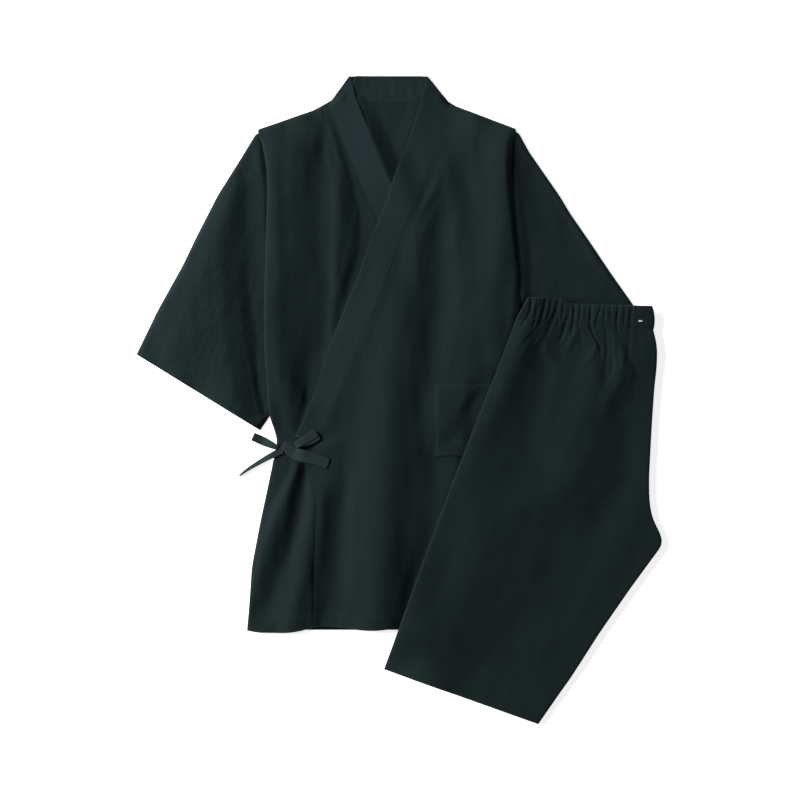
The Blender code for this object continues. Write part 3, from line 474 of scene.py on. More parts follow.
def sleeve(name, side, top_fold, folds, seed):
    """A flattened tube. Each ring runs over the top from the fold to the underarm and back below."""
    path = np.array(top_fold, float)
    length = run_of(path)
    along = steps(length[-1], (0.0, 1.5), (0.0, 0.25, 0.7, 1.4), MESH)[0]
    share = along / length[-1]
    rows = [np.column_stack([length, path[:, k]]) for k in (0, 1)]
    high = np.stack([read(row, along, 1, 6.0) for row in rows], -1)[:, None, :]
    start, end = np.array(UNDERARM)
    low = (start + share[:, None] * (end - start))[:, None, :]
    depth = np.linalg.norm(low - high, axis=-1)[:, 0]
    from_fold = steps(depth, FOLDED_EDGE, FOLDED_EDGE, MESH)
    from_arm = depth[:, None] - from_fold
    widened = from_fold * (1 + 2 * SLEEVE_GAIN / depth[:, None]) - SLEEVE_GAIN
    part = (widened / depth[:, None])[:, :, None]
    place = high + part * (low - high)
    bow = SLEEVE_BOW * (1 - share[:, None]) ** 2 * 4 * part[:, :, 0] * (1 - part[:, :, 0])
    out, down = place[:, :, 0] - bow, place[:, :, 1]
    near = np.minimum(from_fold, from_arm)
    from_cuff = length[-1] - along[:, None]
    lift = SLEEVE_LIFT + sum(fold(rows, down, side * out) for rows in folds)
    lift = settled(lift + 0.3 * ripple(out, down, 34, 60, seed) + 0.3 * ripple(out, down, 90, 130, seed + 1))
    lift = lift + pressed(*on_jacket(side * out, down)) * (0.4 - lift)
    lift = lift + 0.5 * smooth((CUFF_HEM - from_cuff) / 3) - 0.5 * bell((from_cuff - CUFF_HEM) / 1.5)
    upper = SLEEVE_MID + (SLEEVE_MID + lift) * smooth(from_arm / 10 + 0.35)
    upper = upper - rim(near, 9.0, 1.0) * (upper - SLEEVE_MID)
    lower = np.where(near < 1.5, SLEEVE_MID * rim(near, 1.5, 1.0), 0.0)
    pinch = rim(from_cuff, 1.4, 0.35)
    upper, lower = upper - pinch, lower + pinch * 0.5
    x, y = on_jacket(side * out, down)
    loop = [np.concatenate([a, b[:, -2:0:-1]], 1) for a, b in ((x, x), (y, y), (upper, lower))]
    # Paler narrowly at the folds and the cuff, and more broadly towards the cuff.
    paleness = np.exp(-np.minimum(near, from_cuff) / 3) + 0.9 * np.exp(-from_cuff / 40)
    paleness = np.concatenate([paleness, paleness[:, -2:0:-1]], 1)
    rings = np.concatenate([down, down[:, -2:0:-1]], 1)
    crinkle = 0.3 + (0.9 if side < 0 else 0.1) * smooth((rings - 110) / 200)
    if side > 0:
        loop, paleness, crinkle = [grid[:, ::-1] for grid in loop], paleness[:, ::-1], crinkle[:, ::-1]
    piece = surface(name, *loop, paleness, around=True, crinkle=crinkle, grain=side * SLEEVE_GRAIN)
    outline = np.concatenate([place[:, 0], place[::-1, -1]])
    outline = np.stack(on_jacket(side * outline[:, 0], outline[:, 1]), -1)
    hem_line = np.stack([x, y, upper], -1)[np.argmin(np.abs(from_cuff[:, 0] - CUFF_HEM + 2.0)), 4:-4]
    return wall(piece, CLOTH), outline, (x, y, upper), hem_line


def blur(field, reach):
    """Two moving averages along each axis, over twice the reach."""
    half = max(1, round(reach / CELL))
    for axis in (0, 1, 0, 1):
        pad = [(0, 0), (0, 0)]
        pad[axis] = (half + 1, half)
        total = np.cumsum(np.pad(field, pad, mode="edge"), axis=axis)
        last = np.take(total, np.arange(2 * half + 1, total.shape[axis]), axis=axis)
        first = np.take(total, np.arange(0, total.shape[axis] - 2 * half - 1), axis=axis)
        field = (last - first) / (2 * half + 1)
    return field


def rasterize(x, y, z, outline, level):
    """The heap raised over an outline to a level that follows the piece's own mean height near each place."""
    total, count = np.zeros_like(heap), np.zeros_like(heap)
    i = np.clip(np.round((x - field_x[0, 0]) / CELL).astype(int), 0, heap.shape[0] - 1).ravel()
    j = np.clip(np.round((y - field_y[0, 0]) / CELL).astype(int), 0, heap.shape[1] - 1).ravel()
    np.add.at(total, (i, j), z.ravel())
    np.add.at(count, (i, j), 1.0)
    near = blur(total, 3.0) / np.maximum(blur(count, 3.0), 1e-6)
    return np.where(inside(outline, field_x, field_y), np.maximum(near, level), heap)


RING = ((1, 0), (0, 1), (-1, 0), (0, -1))
SPINDLE = np.array([(-1, 0, 0), *[(x, y, z) for x in (-0.6, 0.6) for y, z in RING], (1, 0, 0)])
SPINDLE_FACES = (
    *[(0, 1 + k, 1 + (k + 1) % 4) for k in range(4)], *[(9, 5 + (k + 1) % 4, 5 + k) for k in range(4)],
    *[(1 + k, 5 + k, 5 + (k + 1) % 4) for k in range(4)],
    *[(1 + k, 5 + (k + 1) % 4, 1 + (k + 1) % 4) for k in range(4)],
)


def unit(vectors):
    """The vectors at a length of 1."""
    return vectors / np.maximum(np.linalg.norm(vectors, axis=-1, keepdims=True), 1e-9)


def stitches(name, lines, thread, size=(2.3, 0.5, 0.28), pitch=3.0):
    """Stitches along lines of points: spindles of a length, width and depth, half sunk in the cloth."""
    spots, ways = [], []
    for line in lines:
        run = run_of(line)
        at = np.arange(pitch, run[-1] - pitch / 2, pitch)
        near, far = (np.stack([np.interp(at + k, run, line[:, c]) for c in range(3)], 1) for k in (-0.6, 0.6))
        spots.append((near + far) / 2)
        ways.append(unit(far - near))
    spot, way = np.concatenate(spots), np.concatenate(ways)
    side = unit(np.cross([0.0, 0.0, 1.0], way))
    axes = np.stack([way * size[0], side * size[1], np.cross(way, side) * size[2]], 1) / 2
    points = (spot[:, None] + SPINDLE[None] @ axes).reshape(-1, 3) * MM
    first = np.arange(len(spot))[:, None, None] * len(SPINDLE)
    faces = (first + np.array(SPINDLE_FACES)).reshape(-1, 3)
    piece = unrolled(make(name, points, faces), points[faces.ravel(), :2])
    piece.data.materials.append(thread)
    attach(piece, "root")
    return piece


jacket_thread = dyed_cotton(
    "jacket_thread", pattern, (0.0060, 0.0120, 0.0126, 1.0), (0.0120, 0.0212, 0.0222, 1.0), 0.3
)
for name, node, side, top_fold, folds, seed in (
    ("right_sleeve_tube", "right_sleeve", -1, RIGHT_SLEEVE_FOLD, RIGHT_SLEEVE_FOLDS, 11),
    ("left_sleeve_tube", "left_sleeve", 1, LEFT_SLEEVE_FOLD, LEFT_SLEEVE_FOLDS, 23),
):
    tube, outline, grid, hem_line = sleeve(name, side, top_fold, folds, seed)
    finish_piece(tube, jacket_cotton, node)
    cuff = stitches(node + "_hem_stitches", [hem_line], jacket_thread)
    heap = rasterize(*grid, outline, 2.0)

# ------------------------------------------------------------
# The right front: a panel of the same cotton that lies on the back and under the left front. Its outer side
# is rolled over the armhole seam, and soft folds run from the shoulder to the tie and on down to the hem.
SIDE_EDGE = (
    (75, -182), (81, -183.5), (92, -177), (130, -170), (160, -169.4), (217, -171.5), (300, -173.6),
    (385, -173.6), (440, -170), (479, -166.3), (493, -160.6), (503, -157.6), (516, -155.3),
    (540, -161.6), (574, -168.7), (624, -179.4), (687, -191.4), (732, -194.4), (777, -198.3),
)
RIGHT_BAND_SEAM = ((40, -86), (217, -13.6), (506, 93.4), (532, 103), (774, 103))
RIGHT_HEM = ((-198, 0), (-184, 3), (-143, 4), (-128, 2.3), (-115, -0.5), (-104, -3.6), (103, 0))
RIGHT_FRONT_FOLDS = (
    ((49, -155, 31, 36, 2), (65, -147, 32, 41, -2.5), (98, -144, 31, 56, 7.7), (147, -140, 34, 42, 5.8),
     (245, -148, 48, 62, 8.2), (315, -158, 56, 61, 9.3), (413, -152, 37, 35, 5.8), (469, -130, 31, 44, 5.7),
     (511, -128, 26, 25, 0.2), (532, -130, 20, 20, 1)),
    ((42, -97, 10, 10, 2.5), (63, -89, 8, 7, 0.7), (105, -92, 21, 10, -2.5), (161, -90, 31, 18, -2.1),
     (231, -92, 31, 17, -0.4), (287, -84, 20, 10, -2.2), (357, -87, 34, 16, -4.8), (413, -99, 41, 23, -6.9),
     (469, -123, 30, 13, -4.5), (511, -120, 7, 7, 0)),
    ((32, -78, 11, 11, 1), (49, -75, 18, 13, 8), (109, -65, 18, 27, 3), (194, -69, 15, 22, 2.6),
     (273, -74, 13, 9, 1.6), (352, -71, 10, 17, -4.6), (394, -89, 11, 16, 5.7), (434, -92, 11, 11, 0)),
    ((147, -60, 14, 20, 0.6), (168, -45, 13, 16, 0), (189, -31, 11, 10, -3.9), (224, -27, 34, 15, -4),
     (261, -34, 29, 10, -8.5), (294, -47, 26, 12, -8.5), (322, -62, 14, 10, -4.8), (357, -63, 9, 19, -1.8),
     (385, -86, 13, 14, -3.3), (434, -103, 15, 12, -8.5), (497, -123, 14, 14, 0)),
    ((527, -133, 11, 14, 0), (546, -127, 10, 15, 2.3), (567, -134, 14, 21, 5), (609, -152, 22, 29, 6.7),
     (651, -168, 21, 33, 6.9), (707, -183, 17, 21, 3.8), (751, -182, 24, 27, -4.1), (782, -185, 15, 27, 2.5)),
    ((539, -119, 8, 7, 0), (553, -116, 16, 12, -6.8), (574, -123, 18, 18, -3.7), (616, -127, 18, 17, -1.6),
     (665, -137, 13, 14, -1.9), (714, -157, 20, 14, -1.9), (751, -169, 23, 17, -3.3), (782, -176, 14, 15, 1.2)),
    ((539, -113, 8, 11, 0), (564, -103, 10, 13, -0.7), (602, -104, 17, 22, 4.5), (658, -114, 20, 28, 5.4),
     (714, -123, 25, 23, 4.8), (751, -133, 27, 34, 5.7), (782, -138, 26, 31, 5.2)),
)
OVER_EDGE = (  # down and out of the free edge of the left front and its band, which lie over the right one
    (25, 48.7), (169, -0.6), (221, -21.7), (272, -39), (373, -80.4), (415, -97), (455, -110), (494, -124),
    (533, -121), (552, -113), (595, -101), (683, -103.4), (790, -102.4),
)
LOOSE = 6.0  # how high the cloth lies between its folds
GAP = 0.25  # between one layer and the next
PRESS = 0.9  # how far the left front presses the right one down
SEAM_ALLOWANCE = 3  # of a front's edge, inside the band
HEM_LINE = 22.0  # depth of the turned hem
HEM_TURN, HEM_GROOVE = 0.4, 0.25  # thickness of the turning, and depth of its line of stitches
HEM_FROM, HEM_END = 700.0, 777.0  # down, where the hem's own wave begins and ends


def from_jacket(x, y):
    """Out and down of an X and Y."""
    return x - JACKET_CENTRE, JACKET_TOP - y


def widest(field, reach):
    """The highest value within the reach, along each axis in turn."""
    half = max(1, round(reach / CELL))
    for axis in (0, 1):
        field = np.max([np.roll(field, k, axis) for k in range(-half, half + 1)], axis=0)
    return field


def sample(field, x, y):
    """The field at any X and Y, between its four nearest values."""
    i = np.clip((x - field_x[0, 0]) / CELL, 0, field.shape[0] - 1.001)
    j = np.clip((y - field_y[0, 0]) / CELL, 0, field.shape[1] - 1.001)
    i0, j0 = i.astype(int), j.astype(int)
    a, b = i - i0, j - j0
    near = field[i0, j0] * (1 - b) + field[i0, j0 + 1] * b
    far = field[i0 + 1, j0] * (1 - b) + field[i0 + 1, j0 + 1] * b
    return near * (1 - a) + far * a


def drape(softness=6.0):
    """The heap as cloth lies over it: the highest point near, made soft over twice the softness each way."""
    return blur(widest(heap, 2 * softness + CELL), softness) + GAP


def hem_drop(hem):
    """How far a turned hem falls: its rounded edge, less its double cloth, and the groove of its stitches."""
    turning = HEM_TURN * smooth((HEM_LINE - hem) / 3.0)
    return rim(hem, 1.4, 0.6) - turning + HEM_GROOVE * bell((hem - HEM_LINE) / 1.4)


def paler_by_wear_and_painted_light(side, top, hem, above_hem):
    """Where a front is paler: narrowly at its free edges, for wear, and widely below the shoulder and above the
    hem, a painted highlight standing in for the lamp's light there.
    """
    return np.exp(-np.minimum(side, hem) / 2.5) + 1.5 * np.exp(-top / 26) + above_hem * np.exp(-hem / 30)


def outline_of(x, y):
    """The border of a grid as one closed line."""
    grid = np.stack([x, y], -1)
    return np.concatenate([side[:-1] for side in (grid[:, 0], grid[-1], grid[::-1, -1], grid[0, ::-1])])


def lay(name, x, y, under, lift, drop, wear_and_painted_light, crinkle=0.35):
    """Lays a panel on the heap: it lies lift(x, y) above a rest, less a drop, and never below the heap."""
    global heap
    lowest = sample(blur(widest(heap, CELL), CELL), x, y) + 0.1
    z = np.maximum(sample(under, x, y) + lift(x, y) - drop, lowest) + CLOTH
    covered = inside(outline_of(x, y), field_x, field_y)
    heap = np.where(covered, under + lift(field_x, field_y) + CLOTH, heap)
    return wall(surface(name, x, y, z, wear_and_painted_light, crinkle=crinkle), CLOTH), z


def hem_wave(rows, out, down):
    """A place's down, moved by the hem's own wave below HEM_FROM."""
    return down + read(rows, out) * smooth((down - HEM_FROM) / (HEM_END - HEM_FROM))


def hem_stitches(name, x, y, z, hem, shows):
    """The row of stitches along a panel's hem, where it shows."""
    row = np.argmin(np.abs(hem[:, 0] - HEM_LINE + 1.5))
    return stitches(name, [np.stack([x, y, z], -1)[row, shows[row]]], jacket_thread)


def uneven(tables, a, b, fine, coarse, seed):
    """The folds of some tables, whose first column is b, and small swellings of two sizes."""
    folds = sum(fold(rows, b, a) for rows in tables)
    return folds + 0.2 * ripple(a, b, *fine, seed) + 0.3 * ripple(a, b, *coarse, seed + 1)


seam_edge = tuple((down, out + SEAM_ALLOWANCE * (down < 520)) for down, out in RIGHT_BAND_SEAM)
out, down, left, right, top, hem = patch(SIDE_EDGE, seam_edge, FOLDED_EDGE, (0, 1), (0, 1), HEM_EDGE)
x, y = on_jacket(out, hem_wave(RIGHT_HEM, out, down))


def right_front_lift(x, y):
    """Height of the right front's folds and of its small unevenness."""
    out, down = from_jacket(x, y)
    folds = uneven(RIGHT_FRONT_FOLDS, out, down, (26, 90), (70, 160), 31)
    from_seam = np.maximum(read(RIGHT_BAND_SEAM, down) - out, 0)
    free = 1 - pressed(x, y)
    loose = LOOSE * smooth(from_seam / 50) * (0.5 + 0.5 * smooth((HEM_END - down) / 60))
    beyond = out - read(OVER_EDGE, down)
    sunk = PRESS * smooth((beyond + 1.5) / 3) + 0.6 * smooth((beyond + 3) / 3) * smooth((down - 670) / 30)
    sunk = sunk * smooth((down - 185) / 20) + 1.6 * bell((beyond + 1.0) / 1.3) * smooth((down - 670) / 25)
    return 0.1 + free * settled(folds * smooth(from_seam / 16) + loose - sunk - 0.3)


drop = rim(left, 6.0, 2.5) * smooth((down - 76) / 20) + rim(top, 9.0, 3.0) + hem_drop(hem)
right_rest = drape(6.0)
# The right front's paleness: edge wear, and painted highlights below the shoulder and above the hem.
wear_and_painted_light = paler_by_wear_and_painted_light(left, top, hem, 0.4)
right_front, z = lay("right_front_panel", x, y, right_rest, right_front_lift, drop, wear_and_painted_light)
finish_piece(right_front, jacket_cotton, "jacket_right_front")
shows = (left > 4) & (out < read(OVER_EDGE, down) - 4)
right_hem = hem_stitches("right_front_hem_stitches", x, y, z, hem, shows)

# ------------------------------------------------------------
# The left front: the same panel mirrored, laid over the right one. Its free edge drops from the tie to the
# hem, and its outer side is rolled over the left armhole seam.
LEFT_BAND_SEAM = (
    (38, 86.5), (80, 73.5), (120, 59.8), (150, 47), (184, 36.5), (236, 15.4), (287, -2), (388, -43.4),
    (470, -78), (506, -94.5), (517, -99),
)
LEFT_FRONT_EDGE = LEFT_BAND_SEAM + ((533, -121), (552, -113), (595, -101), (683, -103.4), (775, -102.4))
OUTER_EDGE = (
    (74, 178), (79, 180), (90, 175), (130, 173), (175, 176.4), (217, 180.6), (280, 186.9), (315, 184.8),
    (385, 178), (450, 171), (490, 165), (560, 172), (640, 183), (710, 192), (779, 197),
)
BAND_DITCH = 0.45  # depth of the line beside the band
BULGE_REACH = 48  # how far the roll beside the band goes into the panel
ARMHOLE_TURN = 2.6  # how far the outer side turns down to the sleeve
LEFT_HEM = ((-103, -2.2), (-85, -3.8), (-64, -2.4), (-42, 0.2), (-21, 1.2), (1, -1.2), (14, -3.2), (197, 0))
LEFT_FRONT_FOLDS = (
    ((105, 59, 14, 20, 0), (154, 52, 20, 22, -0.2), (210, 38, 24, 31, 1.9), (259, 34, 35, 29, 1.5),
     (315, 22, 36, 32, 2.7), (378, 4, 50, 36, 1.7), (455, 3, 47, 45, 8.2), (525, -4, 60, 59, 11),
     (595, -9, 62, 59, 11), (679, -10, 62, 48, 11), (735, -11, 48, 39, 7.5), (782, -22, 47, 48, 7.9)),
    ((147, 84, 20, 17, 0), (203, 76, 21, 28, -4.3), (238, 68, 33, 30, -4.9), (315, 74, 31, 31, -5.2),
     (385, 61, 34, 32, -5.2), (455, 52, 25, 22, -2.5), (504, 52, 17, 22, -0.2), (541, 69, 28, 34, -4.5),
     (595, 66, 27, 34, -2.2), (651, 60, 28, 31, -5.2), (707, 42, 24, 22, -6.3), (782, 22, 23, 25, -1.1)),
    ((51, 154, 34, 17, 1), (68, 161, 46, 26, -0.4), (88, 168, 48, 18, 3.5), (126, 167, 47, 19, 3.5),
     (175, 161, 48, 24, 0.9), (259, 149, 58, 34, 4.5), (301, 137, 55, 33, 4.3), (343, 130, 51, 44, 4.4),
     (385, 132, 42, 42, 0)),
    ((91, 102, 20, 20, 0), (140, 107, 27, 24, -4.2), (182, 112, 30, 27, -3), (224, 115, 20, 17, 0.1),
     (245, 118, 17, 17, 0)),
    ((301, 143, 34, 28, 0), (357, 129, 44, 39, 2), (420, 115, 45, 36, 3.1), (455, 93, 32, 15, 5.1),
     (490, 87, 26, 15, 0.4), (513, 82, 23, 15, -5.1), (527, 90, 17, 17, 0)),
    ((415, 123, 17, 17, 0), (443, 120, 18, 18, -1.6), (490, 115, 18, 20, -2.6), (525, 109, 17, 17, -1.6),
     (544, 106, 14, 14, 0)),
    ((532, -57, 17, 17, 0), (567, -61, 29, 18, -1.6), (595, -65, 29, 20, -5.2), (679, -72, 29, 27, -5.2),
     (735, -76, 29, 32, -4.4), (782, -88, 24, 21, -6)),
    ((102, 85, 8, 11, 0), (133, 74, 11, 14, 0.5), (172, 57, 12, 14, 2.1), (204, 35, 8, 11, 0)),
)

# The under end of the collar band is laid before the left front. It is made below, with the whole band.
BAND_WIDTH = 40.0
BAND_CLOTH = 0.9
BAND_OVER = 0.6  # how far the band lies over the seam's line
UNDER_BAND_RISE = ((0, 1.5), (40, 3.2), (80, 6.2), (125, 7.2), (165, 5.6), (205, 0.0), (520, 0.0))
SEAM_BULGE = (
    (70, 0.0), (110, 2.5), (150, 3.2), (200, 2.3), (260, 2.0), (300, 3.0), (360, 2.2), (430, 3.2), (475, 4.2),
    (505, 2.0), (530, 0.0),
)
OVER_BAND_RISE = ((0, 3.0), (50, 2.4), (90, 1.0), (130, 0.0), (520, 0.0))
BAND_EDGE = (0.0, 0.12, 0.4, 0.9, 1.6, 2.6)
BAND_ACROSS = steps(BAND_WIDTH, BAND_EDGE, BAND_EDGE, 3.0)[0] / BAND_WIDTH


def strip_beside(seam, width, turn):
    """Rungs of out and down across a strip, square to its seam's line on the side that turn names."""
    along = unit(np.gradient(seam, axis=0))
    edge = seam + turn * np.stack([width * along[:, 1], -width * along[:, 0]], 1)
    return edge[:, None, :] + BAND_ACROSS[None, :, None] * (seam - edge)[:, None, :]


def band_height(rungs, rest, rise, bulge=((0, 0), (1, 0))):
    """The middle height of a band on its rest: its free edge rises beside the neck, its seam over a bulge.

    The rows of rise and bulge: down, height.
    """
    x, y = on_jacket(rungs[..., 0], rungs[..., 1])
    stand = read(rise, rungs[:, -1:, 1], 1, 20.0) * (1 - BAND_ACROSS[None, :]) ** 1.2
    lean = read(bulge, rungs[:, -1:, 1], 1, 20.0) * BAND_ACROSS[None, :]
    return sample(rest, x, y) + 0.4 + BAND_CLOTH / 2 + stand + lean


under_down = np.linspace(46, 515, 160)
under_seam = np.column_stack([read(RIGHT_BAND_SEAM, under_down) + BAND_OVER, under_down])
under_rungs = strip_beside(under_seam, BAND_WIDTH, 1)
under_z = band_height(under_rungs, right_rest, UNDER_BAND_RISE)
under_x, under_y = on_jacket(under_rungs[..., 0], under_rungs[..., 1])
heap = rasterize(under_x, under_y, under_z + BAND_CLOTH / 2, outline_of(under_x, under_y), 0.0)
seam_edge = tuple((down, out - SEAM_ALLOWANCE * (down < 510)) for down, out in LEFT_FRONT_EDGE)
out, down, left, right, top, hem = patch(seam_edge, OUTER_EDGE, HEM_EDGE, FOLDED_EDGE, (0, 1), HEM_EDGE)
x, y = on_jacket(out, hem_wave(LEFT_HEM, out, down))


def left_front_lift(x, y):
    """Height of the left front's folds and of its small unevenness."""
    out, down = from_jacket(x, y)
    folds = uneven(LEFT_FRONT_FOLDS, out, down, (26, 90), (80, 170), 41)
    from_seam = np.maximum(out - read(LEFT_BAND_SEAM, down), 0) + 40 * smooth((down - 500) / 30)
    ditch = BAND_DITCH * smooth((down - 175) / 30) * smooth((400 - down) / 60) * bell(from_seam / 1.8)
    free = 1 - pressed(x, y)
    from_outer = read(OUTER_EDGE, down) - out
    rolled = 0.25 * smooth(from_outer / 60) + 0.75 * smooth((from_outer + 6) / 18)
    loose = LOOSE * smooth(from_seam / 50) * rolled
    loose = loose * (1 - 0.7 * smooth((120 - down) / 45) * smooth((60 - from_outer) / 40))
    loose = loose * (0.5 + 0.5 * smooth((HEM_END - down) / 60))
    beside = out - read(LEFT_BAND_SEAM, down)
    bulge = np.where(beside < 0, np.clip(1 + beside / BAND_WIDTH, 0, 1), smooth(1 - beside / BULGE_REACH))
    bulge = bulge * read(SEAM_BULGE, down, 1, 20.0) * smooth((560 - down) / 40)
    sink = 0.3 * smooth(1 - (out - read(LEFT_FRONT_EDGE, down)) / 36) * smooth((down - 500) / 20)
    return 0.1 + free * (settled(folds * smooth(from_seam / 16) + loose - 0.3) + bulge) - ditch - sink


turned = np.clip(1 - right / (9.0 - 2.0 * smooth((down - 150) / 60)), 0, 1)
outer_drop = ARMHOLE_TURN * turned * smooth((330 - down) / 40)
outer_drop = outer_drop + rim(right, 6.0, 1.0) * smooth((down - 300) / 40)
drop = rim(top, 9.0, 3.0) + hem_drop(hem) + outer_drop * smooth((down - 70) / 20)
drop = drop + 0.7 * smooth(1 - left / 9) * smooth((down - 500) / 20)
# The left front's paleness: edge wear, and painted highlights below the shoulder and above the hem.
wear_and_painted_light = paler_by_wear_and_painted_light(right, top, hem, 0.3)
far_out, far_down = from_jacket(field_x, field_y)
close = smooth(1 - (far_out - read(OVER_EDGE, far_down)) / 60) * smooth((far_down - 500) / 40)
left_rest = drape(10.0) * (1 - close) + drape(3.0) * close
left_front, z = lay("left_front_panel", x, y, left_rest, left_front_lift, drop, wear_and_painted_light)
finish_piece(left_front, jacket_cotton, "jacket_left_front")
shows = (left > 4) & (pressed(x, y) < 0.5)
left_hem = hem_stitches("left_front_hem_stitches", x, y, z, hem, shows)

# ------------------------------------------------------------
# The collar band: one long strip of the cotton, folded lengthwise and sewn round the neck and down both
# fronts. It turns over at both sides of the neck, and its inside shows behind the neck.


def close_up(piece, fill=False):
    """Joins the doubled corners of a mesh, fills its openings where asked, and turns its faces outward."""
    edit = bmesh.new()
    edit.from_mesh(piece.data)
    bmesh.ops.remove_doubles(edit, verts=edit.verts, dist=1e-6)
    if fill:
        bmesh.ops.holes_fill(edit, edges=[edge for edge in edit.edges if edge.is_boundary], sides=0)
        bmesh.ops.recalc_face_normals(edit, faces=edit.faces)
    if edit.calc_volume(signed=True) < 0:
        bmesh.ops.reverse_faces(edit, faces=edit.faces)
    edit.to_mesh(piece.data)
    edit.free()
    return piece


def strap(name, middle, thickness, edge):
    """A folded strip from its middle surface: both faces stand off it by half the thickness, times a profile.

    The profile is a parabola that closes at the strip's edges and ends, within the edge distance.
    """
    normal = unit(np.cross(np.gradient(middle, axis=0), np.gradient(middle, axis=1)))
    across, along = run_of(middle, 1), run_of(middle)
    near = np.minimum(np.minimum(across, across[:, -1:] - across), np.minimum(along, along[-1:] - along))
    t = 1.0 - np.clip(near / edge, 0.0, 1.0)
    half = thickness / 2 * (1.0 - t * t)[..., None]
    over, back = middle + normal * half, middle - normal * half
    loop = np.concatenate([over, back[:, -2:0:-1]], 1)
    wear_and_painted_light = np.exp(-near / 2.0)
    wear_and_painted_light = np.concatenate([wear_and_painted_light, wear_and_painted_light[:, -2:0:-1]], 1)
    return close_up(surface(name, *np.moveaxis(loop, -1, 0), wear_and_painted_light, around=True))


NECK_LEFT = ((-53.8, 0.0), (-83.5, 37.0))  # out and down of the turn's inner and outer end
NECK_RIGHT = ((53.9, 0.0), (85.5, 37.0))
BACK_STRIP_LEVEL = 3.0
BEHIND_DEPTH = 36.6
BAND_STITCH = 0.91  # share of its width where the stitches run


def neck_turn(ends, high, count=9):
    """The band's fold at one side of the neck: half circles from the front's heights to the back strip's."""
    inner, outer = (np.array(on_jacket(*end)) for end in ends)
    line = outer - inner
    away = unit(np.array([line[1], -line[0]]))
    away = away * np.sign(away[0] * inner[0])
    angle = np.linspace(0, math.pi, count)[:, None]
    radius = (high - BACK_STRIP_LEVEL) / 2
    shift = radius * np.sin(angle) - radius.mean() - BAND_CLOTH / 2
    flat = inner + BAND_ACROSS[:, None] * line
    places = flat[None] + shift[..., None] * away
    return np.concatenate([places, (BACK_STRIP_LEVEL + radius * (1 + np.cos(angle)))[..., None]], -1)


left_down = np.linspace(LEFT_BAND_SEAM[0][0], LEFT_BAND_SEAM[-1][0], 170)[2:]
over_width = BAND_WIDTH - 7.0 * smooth((left_down - 390) / 80)  # drawn in towards the tie
over_seam = np.column_stack([read(LEFT_BAND_SEAM, left_down) - BAND_OVER, left_down])
over_rungs = strip_beside(over_seam, over_width, -1)
over_z = band_height(over_rungs, left_rest, OVER_BAND_RISE, SEAM_BULGE)
over_x, over_y = on_jacket(over_rungs[..., 0], over_rungs[..., 1])
behind = np.linspace(-1.0, 1.0, 40)[:, None]
behind_down = BAND_ACROSS[None, :] * BEHIND_DEPTH + 0 * behind
behind_x, behind_y = on_jacket(behind * (44 + 22 * BAND_ACROSS[None, :]), behind_down)
pucker = 0.5 * ripple(behind_x, behind_down, 14, 60, 55) * np.sin(math.pi * BAND_ACROSS)[None, :]
parts = (
    np.stack([under_x, under_y, under_z], -1)[::-1],
    neck_turn(NECK_LEFT, under_z[0]),
    np.stack([behind_x, behind_y, BACK_STRIP_LEVEL + pucker + 2.4 * np.exp(-(behind + 1) * 3.5)], -1),
    neck_turn(NECK_RIGHT, over_z[0])[::-1],
    np.stack([over_x, over_y, over_z], -1),
)
band_cotton = dyed_cotton(
    "band_cotton", pattern, (0.0052, 0.0108, 0.0112, 1.0), (0.0112, 0.0204, 0.0216, 1.0), 1.0
)
band = strap("collar_band_strip", np.concatenate(parts), BAND_CLOTH, 4.0)
finish_piece(band, band_cotton, "collar_band")
beside_seam = np.argmin(np.abs(BAND_ACROSS - BAND_STITCH))
over_line = np.stack([over_x, over_y, over_z + BAND_CLOTH / 2], -1)[4:-4, beside_seam]
under_line = np.stack([under_x, under_y, under_z + BAND_CLOTH / 2], -1)[4:, beside_seam]
under_line = under_line[under_rungs[4:, 0, 1] < 200]  # what the over end leaves free
seam = stitches("band_seam_stitches", [over_line, under_line], jacket_thread)
heap = rasterize(over_x, over_y, over_z + BAND_CLOTH / 2, outline_of(over_x, over_y), 0.0)

# ------------------------------------------------------------
# The patch pocket: a square of the cotton with turned edges, stitched to the left front. Most of it lies
# under the trousers.
POCKET_LEFT, POCKET_RIGHT = ((433, 66), (532, 66)), ((433, 150), (532, 150))
POCKET_SEAM = 4.4  # its distance in from the edge
out, down, left, right, top, hem = patch(POCKET_LEFT, POCKET_RIGHT, HEM_EDGE, HEM_EDGE, HEM_EDGE, HEM_EDGE)
x, y = on_jacket(out, down)
edge = np.minimum(np.minimum(left, right), np.minimum(top, hem))
drop = rim(np.minimum(left, top), 6.0, 0.8) + rim(np.minimum(right, hem), 1.4, 0.3)
pocket, z = lay("pocket_patch", x, y, drape(2.0), lambda x, y: 0 * x, drop, np.exp(-edge / 2))
finish_piece(pocket, jacket_cotton, "pocket")
points = np.stack([x, y, z], -1)
column, row = np.argmin(np.abs(left[0] - POCKET_SEAM)), np.argmin(np.abs(hem[:, 0] - POCKET_SEAM))
sides = [points[2:-2, column], points[row, (left[row] > 4) & (pressed(x[row], y[row]) < 0.5)]]
pocket_seam = stitches("pocket_stitches", sides, jacket_thread)

# ------------------------------------------------------------
# The tie: two narrow strips, folded and stitched, one from each front, tied in a bow at the right side. The
# knot stands on the edge of the front, with two loops and two loose ends.
TIE_CLOTH = 0.8
tie_rest = drape(4.0)
tie_cotton = dyed_cotton(
    "tie_cotton", pattern, (0.0090, 0.0150, 0.0156, 1.0), (0.0165, 0.0255, 0.0272, 1.0), 0.8
)
TIE_ACROSS = np.array([0, 0.02, 0.07, 0.15, 0.3, 0.5, 0.7, 0.85, 0.93, 0.98, 1.0])


def along_path(rows, columns, count):
    """Columns of a table at even steps of its rows, softened between them."""
    table = np.array(rows, float)
    at = np.linspace(0, len(table) - 1, count)
    reach = np.minimum(0.35, np.minimum(at, len(table) - 1 - at))
    spots = [at + k * reach for k in (-1, 0, 1)]
    count = np.arange(len(table))
    return [np.mean([np.interp(s, count, table[:, k]) for s in spots], axis=0) for k in columns]


